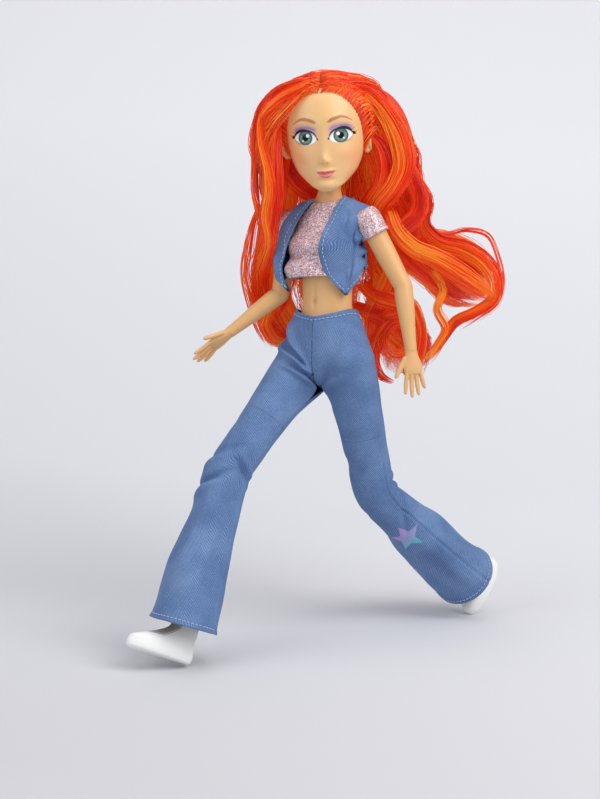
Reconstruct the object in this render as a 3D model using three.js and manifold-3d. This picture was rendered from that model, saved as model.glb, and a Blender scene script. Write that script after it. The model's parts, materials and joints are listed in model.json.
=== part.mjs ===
// A jointed fashion doll in a long stride, with rooted hair, a crop top, a vest, flared trousers and shoes.
// Millimetres, +Z up. The doll faces -Y and its left side is +X. The floor under its shoes is z = 0.
import * as THREE from "three";
import { mergeVertices } from "three/addons/utils/BufferGeometryUtils.js";
import Module from "manifold-3d";

const wasm = await Module();
wasm.setup();

// Driving dimensions
const gap = 0.35; // between pieces that touch or turn on each other
const wall = 1.6; // hard moulded shells
const overrun = 4; // how far a cutter runs past what it cuts
const reach = 600; // edge of a box that cuts away half of space
const torso = { height: 84, halfWidth: 19, halfDepth: 12, neckRadius: 5.5 };
const placeShares = { shoulder: 0.786 }; // places on the torso, as shares of its height
const head = {
  height: 51,
  halfWidth: 19,
  halfDepth: 19.5,
  wallThickness: 2.2,
  noseLength: 2.2,
  earHeight: 7,
  flareDepth: 15.3,
  neckClearance: 5.5,
};
const neck = { pinRadius: 1.1, stemRadius: 2.3, discRadius: 5.2, discThickness: 1.8, barrelRadius: 2.7 };
const shoulder = {
  halfWidth: 20.5,
  setback: 0.5,
  faceHalfWidth: 16.1,
  seatLength: 4.2,
  bossRadius: 4.2,
  pegRadius: 1.7,
  flangeRadius: 2.3,
  flangeThickness: 1.4,
};
const arm = { upperLength: 35, foreLength: 30, handLength: 21.5, radius: 4.9, handWidth: 8.6, fingerRadius: 1 };
const hip = {
  halfWidth: 12,
  radius: 10.5,
  pegRadius: 2.6,
  flangeRadius: 4.4,
  flangeThickness: 1.6,
  pegLength: 9,
};
const thigh = { length: 65, radius: 10.3 };
const knee = { pinRadius: 1.1, tongueHalfWidth: 2.1, cheekThickness: 2, radius: 5 };
const shin = { length: 80, radius: 6.9, ankleRadius: 3.8 };
const shoe = { height: 17, length: 30, halfWidth: 6.2, ankleHeight: 10, toeLength: 21, footClearance: 0.45 };
const cloth = { denimThickness: 0.8, knitThickness: 0.7 };
const trousers = {
  waistHeight: 23,
  hemClearance: 6,
  hemHalfWidth: 17.4,
  hemHalfDepth: 14.6,
  foldDepth: 0.7,
  legClearance: 0.8,
};
const top = { hemHeight: 39.5, neckHeight: 73.5, sleeveLength: 10, armholeRadius: 6.7 };
const vest = { hemHeight: 32, collarHeight: 75.5, necklineRadius: 8.2, armholeRadius: 7 };
const strip = { width: 4, length: 13 };

// Angles in degrees: the pose in which the doll stands, and how its joints are built
const degree = Math.PI / 180;
const pose = {
  leanBack: 5.4,
  leanRight: 2.1,
  nod: 11,
  turn: 27,
  hip: { left: -27, right: 57 },
  knee: { left: 42, right: 18 },
  swing: { left: -16.5, right: 9 },
};
// How the arms are moulded: out from the body, bent at the elbow, which way the bend goes from straight
// ahead towards the outside, and how far the hand is turned about the forearm.
const build = {
  hipTilt: 45,
  armOut: { left: 24, right: 4 },
  elbow: { left: 21, right: 43 },
  elbowOut: { left: -45, right: 58 },
  handTurn: { left: 40, right: 5 },
};

// Counts
const sides = { body: 16, limb: 14, cloth: 14, hair: 10, round: 14, finger: 5 };

const sideSigns = { left: 1, right: -1 };
const vector = (x, y, z) => new THREE.Vector3(x, y, z);
const axisX = vector(1, 0, 0);
const axisY = vector(0, 1, 0);
const axisZ = vector(0, 0, 1);

// Solids and geometries

// The closed mesh of a geometry, as a solid that can be joined and cut.
function solid(geometry) {
  const bare = new THREE.BufferGeometry();
  bare.setAttribute("position", geometry.getAttribute("position"));
  bare.setIndex(geometry.index);
  const merged = mergeVertices(bare);
  const triVerts = new Uint32Array(merged.index.array);
  const vertProperties = new Float32Array(merged.attributes.position.array);
  return new wasm.Manifold(new wasm.Mesh({ numProp: 3, vertProperties, triVerts }));
}

function geometryOf(body) {
  const mesh = body.getMesh();
  const geometry = new THREE.BufferGeometry();
  geometry.setAttribute("position", new THREE.BufferAttribute(new Float32Array(mesh.vertProperties), 3));
  geometry.setIndex(new THREE.BufferAttribute(new Uint32Array(mesh.triVerts), 1));
  const faceted = geometry.toNonIndexed();
  faceted.computeVertexNormals();
  return faceted;
}

const joined = (bodies) => bodies.reduce((sum, body) => sum.add(body));
const cutBy = (body, cutters) => cutters.reduce((rest, cutter) => rest.subtract(cutter), body);

// A closed skin over rings of points. Each ring has the same count, and the ends are closed by fans.
function loft(rings) {
  const count = rings[0].length;
  const points = rings.flat();
  const faces = [];
  for (let row = 0; row + 1 < rings.length; row += 1) {
    for (let i = 0; i < count; i += 1) {
      const next = (i + 1) % count;
      const [a, b] = [row * count + i, row * count + next];
      const [c, d] = [a + count, b + count];
      faces.push([a, b, d], [a, d, c]);
    }
  }
  const last = (rings.length - 1) * count;
  const middles = [centre(rings[0]), centre(rings[rings.length - 1])];
  points.push(...middles);
  for (let i = 0; i < count; i += 1) {
    const next = (i + 1) % count;
    faces.push([next, i, points.length - 2], [last + i, last + next, points.length - 1]);
  }
  const volume = faces.reduce((sum, [a, b, c]) => sum + points[a].dot(points[b].clone().cross(points[c])), 0);
  const facing = volume < 0 ? faces.map(([a, b, c]) => [a, c, b]) : faces;
  const geometry = new THREE.BufferGeometry().setFromPoints(points);
  geometry.setIndex(facing.flat());
  return geometry;
}

function centre(ring) {
  const sum = ring.reduce((total, point) => total.add(point), vector(0, 0, 0));
  return sum.divideScalar(ring.length);
}

// The same rings moved out along the skin's normals.
function swell(rings, distance) {
  return rings.map((ring, row) => {
    const middle = centre(ring);
    const before = rings[Math.max(row - 1, 0)];
    const after = rings[Math.min(row + 1, rings.length - 1)];
    return ring.map((point, i) => {
      const around = ring[(i + 1) % ring.length].clone().sub(ring[(i + ring.length - 1) % ring.length]);
      const along = after[i].clone().sub(before[i]);
      const normal = around.cross(along).normalize();
      const outward = normal.dot(point.clone().sub(middle)) < 0 ? -1 : 1;
      return point.clone().addScaledVector(normal, outward * distance);
    });
  });
}

const moved = (rings, matrix) => rings.map((ring) => ring.map((point) => point.clone().applyMatrix4(matrix)));

// A level ring: half width to both sides, depths to the front (-Y) and the back.
function levelRing(count, z, width, front, back, x = 0, y = 0) {
  return Array.from({ length: count }, (_, i) => {
    const angle = (i / count) * 2 * Math.PI;
    const depth = Math.sin(angle) < 0 ? front : back;
    return vector(x + width * Math.cos(angle), y + depth * Math.sin(angle), z);
  });
}

// Rings across a path. Each station is a point with a half width along the side vector and a half depth.
function sweep(stations, side, count) {
  return stations.map(({ at, width, depth }, k) => {
    const before = stations[Math.max(k - 1, 0)].at;
    const after = stations[Math.min(k + 1, stations.length - 1)].at;
    const along = after.clone().sub(before).normalize();
    const across = side.clone().addScaledVector(along, -side.dot(along)).normalize();
    const deep = along.clone().cross(across);
    return Array.from({ length: count }, (_, i) => {
      const angle = (i / count) * 2 * Math.PI;
      return at
        .clone()
        .addScaledVector(across, width * Math.cos(angle))
        .addScaledVector(deep, depth * Math.sin(angle));
    });
  });
}

// A cylinder from one point along an axis.
function rod(start, axis, length, radius, count = sides.round) {
  const geometry = new THREE.CylinderGeometry(radius, radius, length, count);
  geometry.translate(0, length / 2, 0);
  geometry.applyQuaternion(new THREE.Quaternion().setFromUnitVectors(axisY, axis));
  geometry.translate(start.x, start.y, start.z);
  return solid(geometry);
}

function ball(at, radius, count = sides.round) {
  return solid(new THREE.SphereGeometry(radius, count, count / 2).translate(at.x, at.y, at.z));
}

// A block between two corners.
function block(low, high) {
  const size = high.clone().sub(low);
  const middle = low.clone().add(high).divideScalar(2);
  return solid(new THREE.BoxGeometry(size.x, size.y, size.z).translate(middle.x, middle.y, middle.z));
}

// Everything beyond a plane, on the side that its normal points to.
function beyond(point, normal) {
  const geometry = new THREE.BoxGeometry(reach, reach, reach).translate(0, 0, reach / 2);
  geometry.applyQuaternion(new THREE.Quaternion().setFromUnitVectors(axisZ, normal));
  geometry.translate(point.x, point.y, point.z);
  return solid(geometry);
}

// An outline in the XZ plane, pushed from one depth to another along Y.
function frontal(outline, fromY, toY) {
  const shape = new THREE.Shape(outline.map(([x, z]) => new THREE.Vector2(x, z)));
  const geometry = new THREE.ExtrudeGeometry(shape, { depth: toY - fromY, bevelEnabled: false });
  geometry.rotateX(Math.PI / 2).translate(0, toY, 0);
  return solid(geometry);
}

// Frames of the moving pieces, in the pelvis frame
const turnAbout = (axis, angle) => new THREE.Matrix4().makeRotationAxis(axis, angle * degree);
const shift = (point) => new THREE.Matrix4().makeTranslation(point.x, point.y, point.z);
const chain = (...matrices) =>
  matrices.reduce((product, matrix) => product.multiply(matrix), new THREE.Matrix4());

const shoulderHeight = placeShares.shoulder * torso.height;
const hipPoint = (side) => vector(sideSigns[side] * hip.halfWidth, 0, 0);
const hipAxis = (side) =>
  vector(sideSigns[side] * Math.sin(build.hipTilt * degree), 0, -Math.cos(build.hipTilt * degree));
const shoulderPoint = (side) => vector(sideSigns[side] * shoulder.halfWidth, shoulder.setback, shoulderHeight);
const kneePoint = vector(0, 0, -thigh.length);

const thighFrame = (side) =>
  chain(shift(hipPoint(side)), turnAbout(hipAxis(side), -sideSigns[side] * pose.hip[side]));
const shinFrame = (side) => chain(thighFrame(side), shift(kneePoint), turnAbout(axisX, pose.knee[side]));
const armFrame = (side) => chain(shift(shoulderPoint(side)), turnAbout(axisX, -pose.swing[side]));
const neckPoint = vector(0, 0, torso.height);
const headFrame = chain(shift(neckPoint), turnAbout(axisX, pose.nod), turnAbout(axisZ, pose.turn));

// Torso

// Height, half width, depth in front and depth behind, as shares of the torso's height and half sizes.
const torsoShares = [
  [-0.137, 0.17, 0.36, 0.4],
  [-0.1, 0.42, 0.68, 0.74],
  [-0.04, 0.7, 0.84, 0.92],
  [0.035, 0.92, 0.89, 0.98],
  [0.105, 0.98, 0.87, 0.96],
  [0.19, 0.86, 0.81, 0.84],
  [0.275, 0.69, 0.74, 0.71],
  [0.38, 0.66, 0.74, 0.68],
  [0.475, 0.68, 0.78, 0.68],
  [0.56, 0.71, 0.92, 0.72],
  [0.63, 0.74, 1.1, 0.75],
  [0.7, 0.735, 0.95, 0.74],
  [0.775, 0.77, 0.7, 0.69],
  [0.835, 0.73, 0.55, 0.6],
  [0.875, 0.56, 0.49, 0.52],
  [0.9, 0.38, 0.46, 0.48],
];

const neckRing = (z) => levelRing(sides.body, z, torso.neckRadius, torso.neckRadius, torso.neckRadius);

const torsoRings = [
  ...torsoShares.map(([height, width, front, back]) =>
    levelRing(
      sides.body,
      height * torso.height,
      width * torso.halfWidth,
      front * torso.halfDepth,
      back * torso.halfDepth,
    ),
  ),
  neckRing(torso.height - torso.neckRadius),
  neckRing(torso.height),
];

// Cuts away what lies beyond a hip's slanted face, less a clearance.
const hipCut = (side, clearance) =>
  beyond(hipPoint(side).addScaledVector(hipAxis(side), -clearance), hipAxis(side));
const bothSides = (make) => [make("left"), make("right")];

function torsoShell() {
  const outer = solid(loft(torsoRings));
  const dome = ball(neckPoint, torso.neckRadius);
  const bosses = bothSides((side) => {
    const sign = sideSigns[side];
    const inner = shoulder.faceHalfWidth - gap - shoulder.seatLength;
    const start = vector(sign * inner, shoulder.setback, shoulderHeight);
    return rod(start, vector(sign, 0, 0), shoulder.seatLength, shoulder.bossRadius);
  });
  const trimmed = cutBy(outer, bothSides((side) => hipCut(side, 0)));
  const shoulderTrim = bothSides((side) => {
    const sign = sideSigns[side];
    const bottom = shoulderHeight - shoulder.bossRadius;
    const near = vector(sign * (shoulder.faceHalfWidth - gap), -reach / 4, bottom);
    const far = vector(sign * reach, reach / 4, torso.height);
    return block(
      vector(Math.min(near.x, far.x), near.y, near.z),
      vector(Math.max(near.x, far.x), far.y, far.z),
    );
  });
  const skin = joined([cutBy(trimmed, shoulderTrim), dome]);
  const hollow = cutBy(
    solid(loft(swell(torsoRings.slice(1, -3), -wall))),
    [...bothSides((side) => hipCut(side, wall)), ...shoulderWalls()],
  );
  const pegHoles = bothSides((side) => pegAt(side, hip.pegRadius + gap, overrun, hip.pegLength));
  const pegWay = shoulder.halfWidth - shoulder.faceHalfWidth + gap + shoulder.seatLength + overrun;
  const armHoles = bothSides((side) => armPegRod(side, shoulder.pegRadius + gap, pegWay));
  const slotHalf = neck.stemRadius + gap;
  const slot = block(
    vector(-slotHalf, -torso.neckRadius - overrun, torso.height - neck.barrelRadius - gap),
    vector(slotHalf, torso.neckRadius + overrun, torso.height + torso.neckRadius + overrun),
  );
  const pinStart = vector(-torso.neckRadius - overrun, 0, torso.height);
  const pinHole = rod(pinStart, axisX, (torso.neckRadius + overrun) * 2, neck.pinRadius + gap);
  return cutBy(joined([skin.subtract(hollow), ...bosses]), [...pegHoles, ...armHoles, slot, pinHole]);
}

// The hollow stays clear of the walls that carry the arms.
function shoulderWalls() {
  return bothSides((side) => {
    const sign = sideSigns[side];
    return beyond(vector(sign * (shoulder.faceHalfWidth - gap - wall), 0, 0), vector(sign, 0, 0));
  });
}

// A rod along a hip's axis. It starts inside the pelvis and runs out into the thigh.
function pegAt(side, radius, inside, outside) {
  const start = hipPoint(side).addScaledVector(hipAxis(side), -inside);
  return rod(start, hipAxis(side), inside + outside, radius);
}

function armPegRod(side, radius, inside) {
  const sign = sideSigns[side];
  const start = vector(sign * (shoulder.halfWidth - inside), shoulder.setback, shoulderHeight);
  return rod(start, vector(sign, 0, 0), inside, radius);
}

// The hip peg: a round bar fixed in the thigh, with a flange caught inside the pelvis.
function hipPeg(side) {
  const axis = hipAxis(side);
  const inner = wall + gap;
  const bar = pegAt(side, hip.pegRadius, inner, hip.pegLength - gap);
  const flangeStart = hipPoint(side).addScaledVector(axis, -inner - hip.flangeThickness);
  return bar.add(rod(flangeStart, axis, hip.flangeThickness, hip.flangeRadius));
}

function shoulderPeg(side) {
  const sign = sideSigns[side];
  const flangeX = shoulder.faceHalfWidth - gap - shoulder.seatLength - gap - shoulder.flangeThickness;
  const start = vector(sign * flangeX, shoulder.setback, shoulderHeight);
  const flange = rod(start, vector(sign, 0, 0), shoulder.flangeThickness, shoulder.flangeRadius);
  return armPegRod(side, shoulder.pegRadius, shoulder.halfWidth - flangeX).add(flange);
}

// Neck knob: a barrel on the cross pin, a stem and the disc that holds the head.
function neckKnob() {
  const discHeight = head.wallThickness + torso.neckRadius + gap * 2;
  const halfBarrel = neck.stemRadius;
  const barrel = rod(vector(-halfBarrel, 0, 0), axisX, halfBarrel * 2, neck.barrelRadius);
  const stem = rod(vector(0, 0, 0), axisZ, discHeight, neck.stemRadius);
  const disc = rod(vector(0, 0, discHeight), axisZ, neck.discThickness, neck.discRadius);
  const boreHalf = halfBarrel + overrun;
  const bore = rod(vector(-boreHalf, 0, 0), axisX, boreHalf * 2, neck.pinRadius + gap);
  return cutBy(joined([barrel, stem, disc]), [bore]);
}

function neckPin() {
  const half = torso.neckRadius - gap;
  return rod(vector(-half, 0, torso.height), axisX, half * 2, neck.pinRadius);
}

// Head

// Height, half width, front edge and back edge, as shares of the head's height, half width and half depth.
const headShares = [
  [-0.1, 0.16, -0.8, -0.62],
  [-0.06, 0.34, -0.87, -0.42],
  [0.0, 0.52, -0.91, 0.1],
  [0.08, 0.69, -0.93, 0.36],
  [0.19, 0.83, -0.95, 0.66],
  [0.31, 0.92, -0.97, 0.88],
  [0.43, 0.97, -0.98, 1.0],
  [0.55, 0.99, -0.98, 1.05],
  [0.67, 0.96, -0.93, 1.04],
  [0.78, 0.86, -0.8, 0.94],
  [0.87, 0.67, -0.58, 0.75],
  [0.93, 0.42, -0.32, 0.48],
];

const headRings = headShares.map(([height, width, front, back]) => {
  const [near, far] = [front * head.halfDepth, back * head.halfDepth];
  const depth = (far - near) / 2;
  return levelRing(sides.body, height * head.height, width * head.halfWidth, depth, depth, 0, (near + far) / 2);
});

// Height, front and half width of the nose as shares of the head's sizes, and depth as a share of its length.
const noseShares = [
  [0.24, -0.93, 0.1, 1.2],
  [0.3, -0.93, 0.1, 1],
  [0.44, -0.93, 0.05, 0.25],
];
const noseStations = noseShares.map(([height, front, width, depth]) => ({
  at: vector(0, front * head.halfDepth, height * head.height),
  width: width * head.halfWidth,
  depth: depth * head.noseLength,
}));
const socketShares = { flare: 1.6 };
const earShares = { x: 0.93, y: 0.02, height: 0.33, thick: 0.34, long: 0.6 };

function earSolid(side, clearance) {
  const geometry = new THREE.SphereGeometry(1, sides.hair, sides.finger);
  const half = head.earHeight / 2;
  geometry.scale(earShares.thick * half + clearance, earShares.long * half + clearance, half + clearance);
  geometry.translate(
    sideSigns[side] * earShares.x * head.halfWidth,
    earShares.y * head.halfDepth,
    earShares.height * head.height,
  );
  return solid(geometry);
}

function headShell() {
  const outer = solid(loft(headRings));
  const nose = solid(loft(sweep(noseStations, axisX, sides.hair)));
  const ears = bothSides((side) => earSolid(side, 0));
  const socketRadius = torso.neckRadius + gap;
  const floorHeight = torso.neckRadius + gap + head.wallThickness;
  const cavity = solid(loft(swell(headRings.slice(2, -1), -head.wallThickness))).subtract(
    beyond(vector(0, 0, floorHeight), vector(0, 0, -1)),
  );
  const socket = ball(vector(0, 0, 0), socketRadius);
  const flare = new THREE.CylinderGeometry(
    socketRadius,
    socketRadius * socketShares.flare,
    head.flareDepth,
    sides.round,
  );
  flare.rotateX(Math.PI / 2);
  flare.translate(0, 0, -head.flareDepth / 2);
  const stemHole = rod(vector(0, 0, 0), axisZ, floorHeight + gap, neck.stemRadius + gap);
  return cutBy(joined([outer, nose, ...ears]), [cavity, socket, solid(flare), stemHole]);
}

// Arms

// Along the arm from the shoulder, as shares of the upper arm, then of the forearm, with radii as shares.
const upperArmShares = [
  [-0.15, 0.6],
  [-0.1, 0.86],
  [0, 1.06],
  [0.12, 1.08],
  [0.3, 1.02],
  [0.55, 0.98],
  [0.8, 0.91],
  [1, 0.87],
];
const forearmShares = [
  [0.2, 0.87],
  [0.45, 0.78],
  [0.75, 0.63],
  [1, 0.55],
];

// Which way the forearm goes, before the arm is turned out from the body.
function foreWay(side) {
  const [bend, outward] = [build.elbow[side] * degree, build.elbowOut[side] * degree];
  const sideways = sideSigns[side] * Math.sin(bend) * Math.sin(outward);
  return vector(sideways, -Math.sin(bend) * Math.cos(outward), -Math.cos(bend));
}

const turnedOut = (side, point) => point.applyAxisAngle(axisY, -sideSigns[side] * build.armOut[side] * degree);

// Points of the bent arm's middle line.
function armPoint(side, along) {
  const upper = Math.min(along, arm.upperLength);
  const middle = foreWay(side).multiplyScalar(along - upper);
  return turnedOut(side, middle.add(vector(0, 0, -upper)));
}

function armStations(side) {
  const upper = upperArmShares.map(([share, radius]) => [share * arm.upperLength, radius * arm.radius]);
  const fore = forearmShares.map(([share, radius]) => [
    arm.upperLength + share * arm.foreLength,
    radius * arm.radius,
  ]);
  return [...upper, ...fore].map(([along, radius]) => ({
    at: armPoint(side, along),
    width: radius,
    depth: radius,
  }));
}

// Across the hand and along it, where each finger starts and ends, as shares of the hand's width and length.
const fingerShares = [
  [0.37, 0.46, 0.56, 0.91],
  [0.13, 0.48, 0.2, 1],
  [-0.12, 0.47, -0.18, 0.96],
  [-0.36, 0.44, -0.56, 0.83],
];
const thumbShares = [0.34, 0.12, 1.04, 0.55];
const thumbRadiusShare = 1.15; // over a finger's radius
const palmShares = [
  [-0.04, 0.31, 0.27],
  [0.1, 0.36, 0.26],
  [0.28, 0.5, 0.24],
  [0.42, 0.52, 0.2],
  [0.5, 0.46, 0.14],
];

// Across the palm towards the thumb.
function handWay(side) {
  const fore = foreWay(side);
  const ahead = vector(0, -1, 0).projectOnPlane(fore).normalize();
  return turnedOut(side, ahead.applyAxisAngle(fore, build.handTurn[side] * degree));
}

// The hand starts at the wrist, with the palm towards the body.
function handSolid(side) {
  const wrist = arm.upperLength + arm.foreLength;
  const forward = handWay(side);
  const place = (across, along) =>
    armPoint(side, wrist + along * arm.handLength).addScaledVector(forward, across * arm.handWidth);
  const palm = palmShares.map(([along, width, thick]) => ({
    at: place(0, along),
    width: width * arm.handWidth,
    depth: thick * arm.handWidth,
  }));
  const digit = ([rootAcross, rootAlong, tipAcross, tipAlong], radius) => {
    const [root, tip] = [place(rootAcross, rootAlong), place(tipAcross, tipAlong)];
    const radiusShares = [
      [0, 1],
      [0.5, 0.95],
      [0.9, 0.75],
      [1, 0.35],
    ];
    return radiusShares.map(([share, size]) => ({
      at: root.clone().lerp(tip, share),
      width: radius * size,
      depth: radius * size,
    }));
  };
  const digits = fingerShares.map((shares) => digit(shares, arm.fingerRadius));
  digits.push(digit(thumbShares, arm.fingerRadius * thumbRadiusShare));
  return joined([
    solid(loft(sweep(palm, forward, sides.hair))),
    ...digits.map((stations) => solid(loft(sweep(stations, forward, sides.finger)))),
  ]);
}

const armRings = (side) => sweep(armStations(side), axisX, sides.limb);

function armSolid(side) {
  const sign = sideSigns[side];
  const outward = vector(sign, 0, 0);
  const face = shoulder.faceHalfWidth - shoulder.halfWidth;
  const inside = beyond(vector(sign * face, 0, 0), outward.clone().negate());
  const boreStart = outward.clone().multiplyScalar(-overrun * 2);
  const bore = rod(boreStart, outward, overrun * 2 + gap, shoulder.pegRadius + gap);
  return cutBy(solid(loft(armRings(side))).add(handSolid(side)), [inside, bore]);
}

// Legs

// Along the thigh from the hip and the radius there, as shares of the thigh's length and radius.
const thighShares = [
  [0.14, 0.99],
  [0.3, 0.93],
  [0.48, 0.84],
  [0.66, 0.76],
  [0.88, 0.68],
];

// The thigh's first ring lies on the slanted hip face, round the hip's axis.
function thighRings(side, clearance = 0) {
  const axis = hipAxis(side);
  const turned = new THREE.Quaternion().setFromUnitVectors(vector(0, 0, -1), axis);
  const face = levelRing(sides.limb, 0, hip.radius, hip.radius, hip.radius).map((point) =>
    point.applyQuaternion(turned).addScaledVector(axis, clearance),
  );
  const rings = thighShares.map(([along, radius]) => {
    const size = radius * thigh.radius;
    return levelRing(sides.limb, -along * thigh.length, size, size, size);
  });
  return [face, ...rings];
}

function thighSolid(side) {
  const upper = solid(loft(thighRings(side, gap)));
  const forkTop = thighShares[thighShares.length - 1][0] * thigh.length - gap;
  const cheeks = [1, -1].map((sign) => {
    const inner = sign * (knee.tongueHalfWidth + gap);
    const outer = sign * (knee.tongueHalfWidth + gap + knee.cheekThickness);
    const [low, high] = [Math.min(inner, outer), Math.max(inner, outer)];
    const plate = block(vector(low, -knee.radius, -thigh.length), vector(high, knee.radius, -forkTop));
    const end = rod(vector(low, 0, -thigh.length), axisX, knee.cheekThickness, knee.radius);
    return plate.add(end);
  });
  const pinLength = (knee.tongueHalfWidth + gap + knee.cheekThickness) * 2 + overrun;
  const pinHole = rod(vector(-pinLength / 2, 0, -thigh.length), axisX, pinLength, knee.pinRadius + gap);
  const axis = hipAxis(side);
  const pegStart = axis.clone().multiplyScalar(-overrun);
  const pegHole = rod(pegStart, axis, overrun + hip.pegLength, hip.pegRadius + gap);
  const pelvisSide = beyond(axis.clone().multiplyScalar(gap), axis.clone().negate());
  return cutBy(joined([upper, ...cheeks]), [pinHole, pegHole, pelvisSide]);
}

// Along the lower leg from the knee: share of its length, then radius and shift to the back as shares of the radius.
const shinShares = [
  [0.085, 0.93, 0],
  [0.2, 1, 0.12],
  [0.35, 0.94, 0.18],
  [0.56, 0.74, 0.12],
  [0.78, 0.58, 0.04],
  [0.9, 0.55, 0],
];
// The foot on its raised heel: forward and down from the ankle, half width and half thickness,
// as shares of the shoe's reach ahead, the ankle's height over the sole, and the ankle's radius.
const footShares = [
  [0.06, -0.05, 1.0, 1.05],
  [0.22, 0.2, 1.05, 0.95],
  [0.42, 0.45, 1.1, 0.7],
  [0.62, 0.6, 1.05, 0.5],
  [0.78, 0.66, 0.85, 0.4],
  [0.86, 0.67, 0.5, 0.25],
];

function lowerLegStations() {
  const leg = shinShares.map(([along, radius, back]) => ({
    at: vector(0, back * shin.radius, -along * shin.length),
    width: radius * shin.radius,
    depth: radius * shin.radius,
  }));
  const foot = footShares.map(([ahead, down, width, depth]) => ({
    at: vector(0, -ahead * shoe.toeLength, -shin.length - down * shoe.ankleHeight),
    width: width * shin.ankleRadius,
    depth: depth * shin.ankleRadius,
  }));
  return [...leg, ...foot];
}

const lowerLegRings = () => sweep(lowerLegStations(), axisX, sides.limb);

function shinSolid() {
  const leg = solid(loft(lowerLegRings()));
  const start = vector(-knee.tongueHalfWidth, 0, 0);
  const barrel = rod(start, axisX, knee.tongueHalfWidth * 2, knee.radius);
  const neckBottom = -shinShares[1][0] * shin.length;
  const tongue = block(
    vector(-knee.tongueHalfWidth, -knee.radius, neckBottom),
    vector(knee.tongueHalfWidth, knee.radius, 0),
  );
  const holeStart = vector(-knee.tongueHalfWidth - overrun, 0, 0);
  const hole = rod(holeStart, axisX, (knee.tongueHalfWidth + overrun) * 2, knee.pinRadius + gap);
  return joined([leg, barrel, tongue]).subtract(hole);
}

function kneePin() {
  const half = knee.tongueHalfWidth + gap + knee.cheekThickness;
  return rod(vector(-half, 0, -thigh.length), axisX, half * 2, knee.pinRadius);
}

// Shoes

// Height over the sole as a share of the shoe's height, middle and half length as shares of its length,
// and half width as a share of its half width.
const shoeShares = [
  [0, -0.24, 0.47, 0.9],
  [0.06, -0.24, 0.5, 0.98],
  [0.22, -0.235, 0.51, 1],
  [0.34, -0.225, 0.485, 0.98],
  [0.46, -0.16, 0.405, 0.94],
  [0.62, -0.06, 0.3, 0.9],
  [0.8, 0.02, 0.225, 0.86],
  [1, 0.045, 0.195, 0.84],
];

function shoeSolid() {
  const floor = -shin.length - shoe.ankleHeight;
  const rings = shoeShares.map(([up, middle, half, width]) => {
    const reachHalf = half * shoe.length;
    const z = floor + up * shoe.height;
    return levelRing(sides.cloth, z, width * shoe.halfWidth, reachHalf, reachHalf, 0, middle * shoe.length);
  });
  const footRoom = solid(loft(swell(lowerLegRings(), shoe.footClearance)));
  return solid(loft(rings)).subtract(footRoom);
}

// Trousers

// Along the leg from the hip: share of the thigh's length and the half width over the thigh's radius there.
const trouserThighShares = [
  [0.14, 1.04],
  [0.3, 0.99],
  [0.48, 0.93],
  [0.66, 0.88],
  [0.84, 0.86],
];
// Below the knee: share of the lower leg's length, and how far the flare has opened.
const trouserShinShares = [
  [0.14, 0.02],
  [0.3, 0.14],
  [0.48, 0.34],
  [0.66, 0.6],
  [0.82, 0.84],
  [1, 1],
];

// One trouser leg's rings from inside the hip to the hem, in the pelvis frame.
function trouserLegRings(side) {
  const face = thighRings(side)[0].map((point) => point.multiplyScalar(1 + trousers.legClearance / hip.radius));
  const axis = hipAxis(side);
  const inner = face.map((point) => point.clone().addScaledVector(axis, -wall));
  const upper = trouserThighShares.map(([along, radius]) => {
    const size = radius * thigh.radius + trousers.legClearance;
    return levelRing(sides.limb, -along * thigh.length, size, size, size);
  });
  const kneeSize = trouserThighShares[trouserThighShares.length - 1][1] * thigh.radius + trousers.legClearance;
  const hemLine = shin.length - trousers.hemClearance;
  const lower = trouserShinShares.map(([along, open]) => {
    const width = kneeSize + (trousers.hemHalfWidth - kneeSize) * open;
    const depth = kneeSize + (trousers.hemHalfDepth - kneeSize) * open;
    return levelRing(sides.limb, -along * hemLine, width, depth, depth);
  });
  const atKnee = levelRing(sides.limb, 0, kneeSize, kneeSize, kneeSize);
  const halfBent = chain(thighFrame(side), shift(kneePoint), turnAbout(axisX, pose.knee[side] / 2));
  return [
    ...moved([inner, face, ...upper], thighFrame(side)),
    ...moved([atKnee], halfBent),
    ...moved(lower, shinFrame(side)),
  ];
}

// Waves round the leg, their slant from ring to ring, and how many rings they spread over.
const foldShares = { waves: 3, slant: 2, spread: 3 };

// Main folds: shallow waves that run slantwise round the leg, strongest at the knee.
function folded(rings) {
  const kneeRow = trouserThighShares.length + 2;
  return rings.map((ring, row) => {
    const middle = centre(ring);
    const near = Math.exp(-((row - kneeRow) ** 2) / foldShares.spread);
    return ring.map((point, i) => {
      const phase = (i / ring.length) * 2 * Math.PI * foldShares.waves + row * foldShares.slant;
      const lift = (trousers.foldDepth * near * (1 + Math.cos(phase))) / 2;
      const outward = point.clone().sub(middle).normalize();
      return point.clone().addScaledVector(outward, lift);
    });
  });
}

// Round the pelvis: height, half width, depth in front and behind, as shares of the torso's sizes.
const seatShares = [
  [-0.155, 0.25, 0.5, 0.55],
  [-0.1, 0.72, 0.84, 0.98],
  [-0.04, 1.0, 0.96, 1.14],
  [0.035, 1.12, 0.99, 1.2],
  [0.105, 1.12, 0.97, 1.16],
  [0.19, 0.97, 0.9, 1.0],
  [0.275, 0.77, 0.81, 0.8],
  [0.38, 0.72, 0.8, 0.76],
];

const seatRings = seatShares.map(([height, width, front, back]) =>
  levelRing(
    sides.body,
    height * torso.height,
    width * torso.halfWidth,
    front * torso.halfDepth,
    back * torso.halfDepth,
  ),
);

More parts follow.
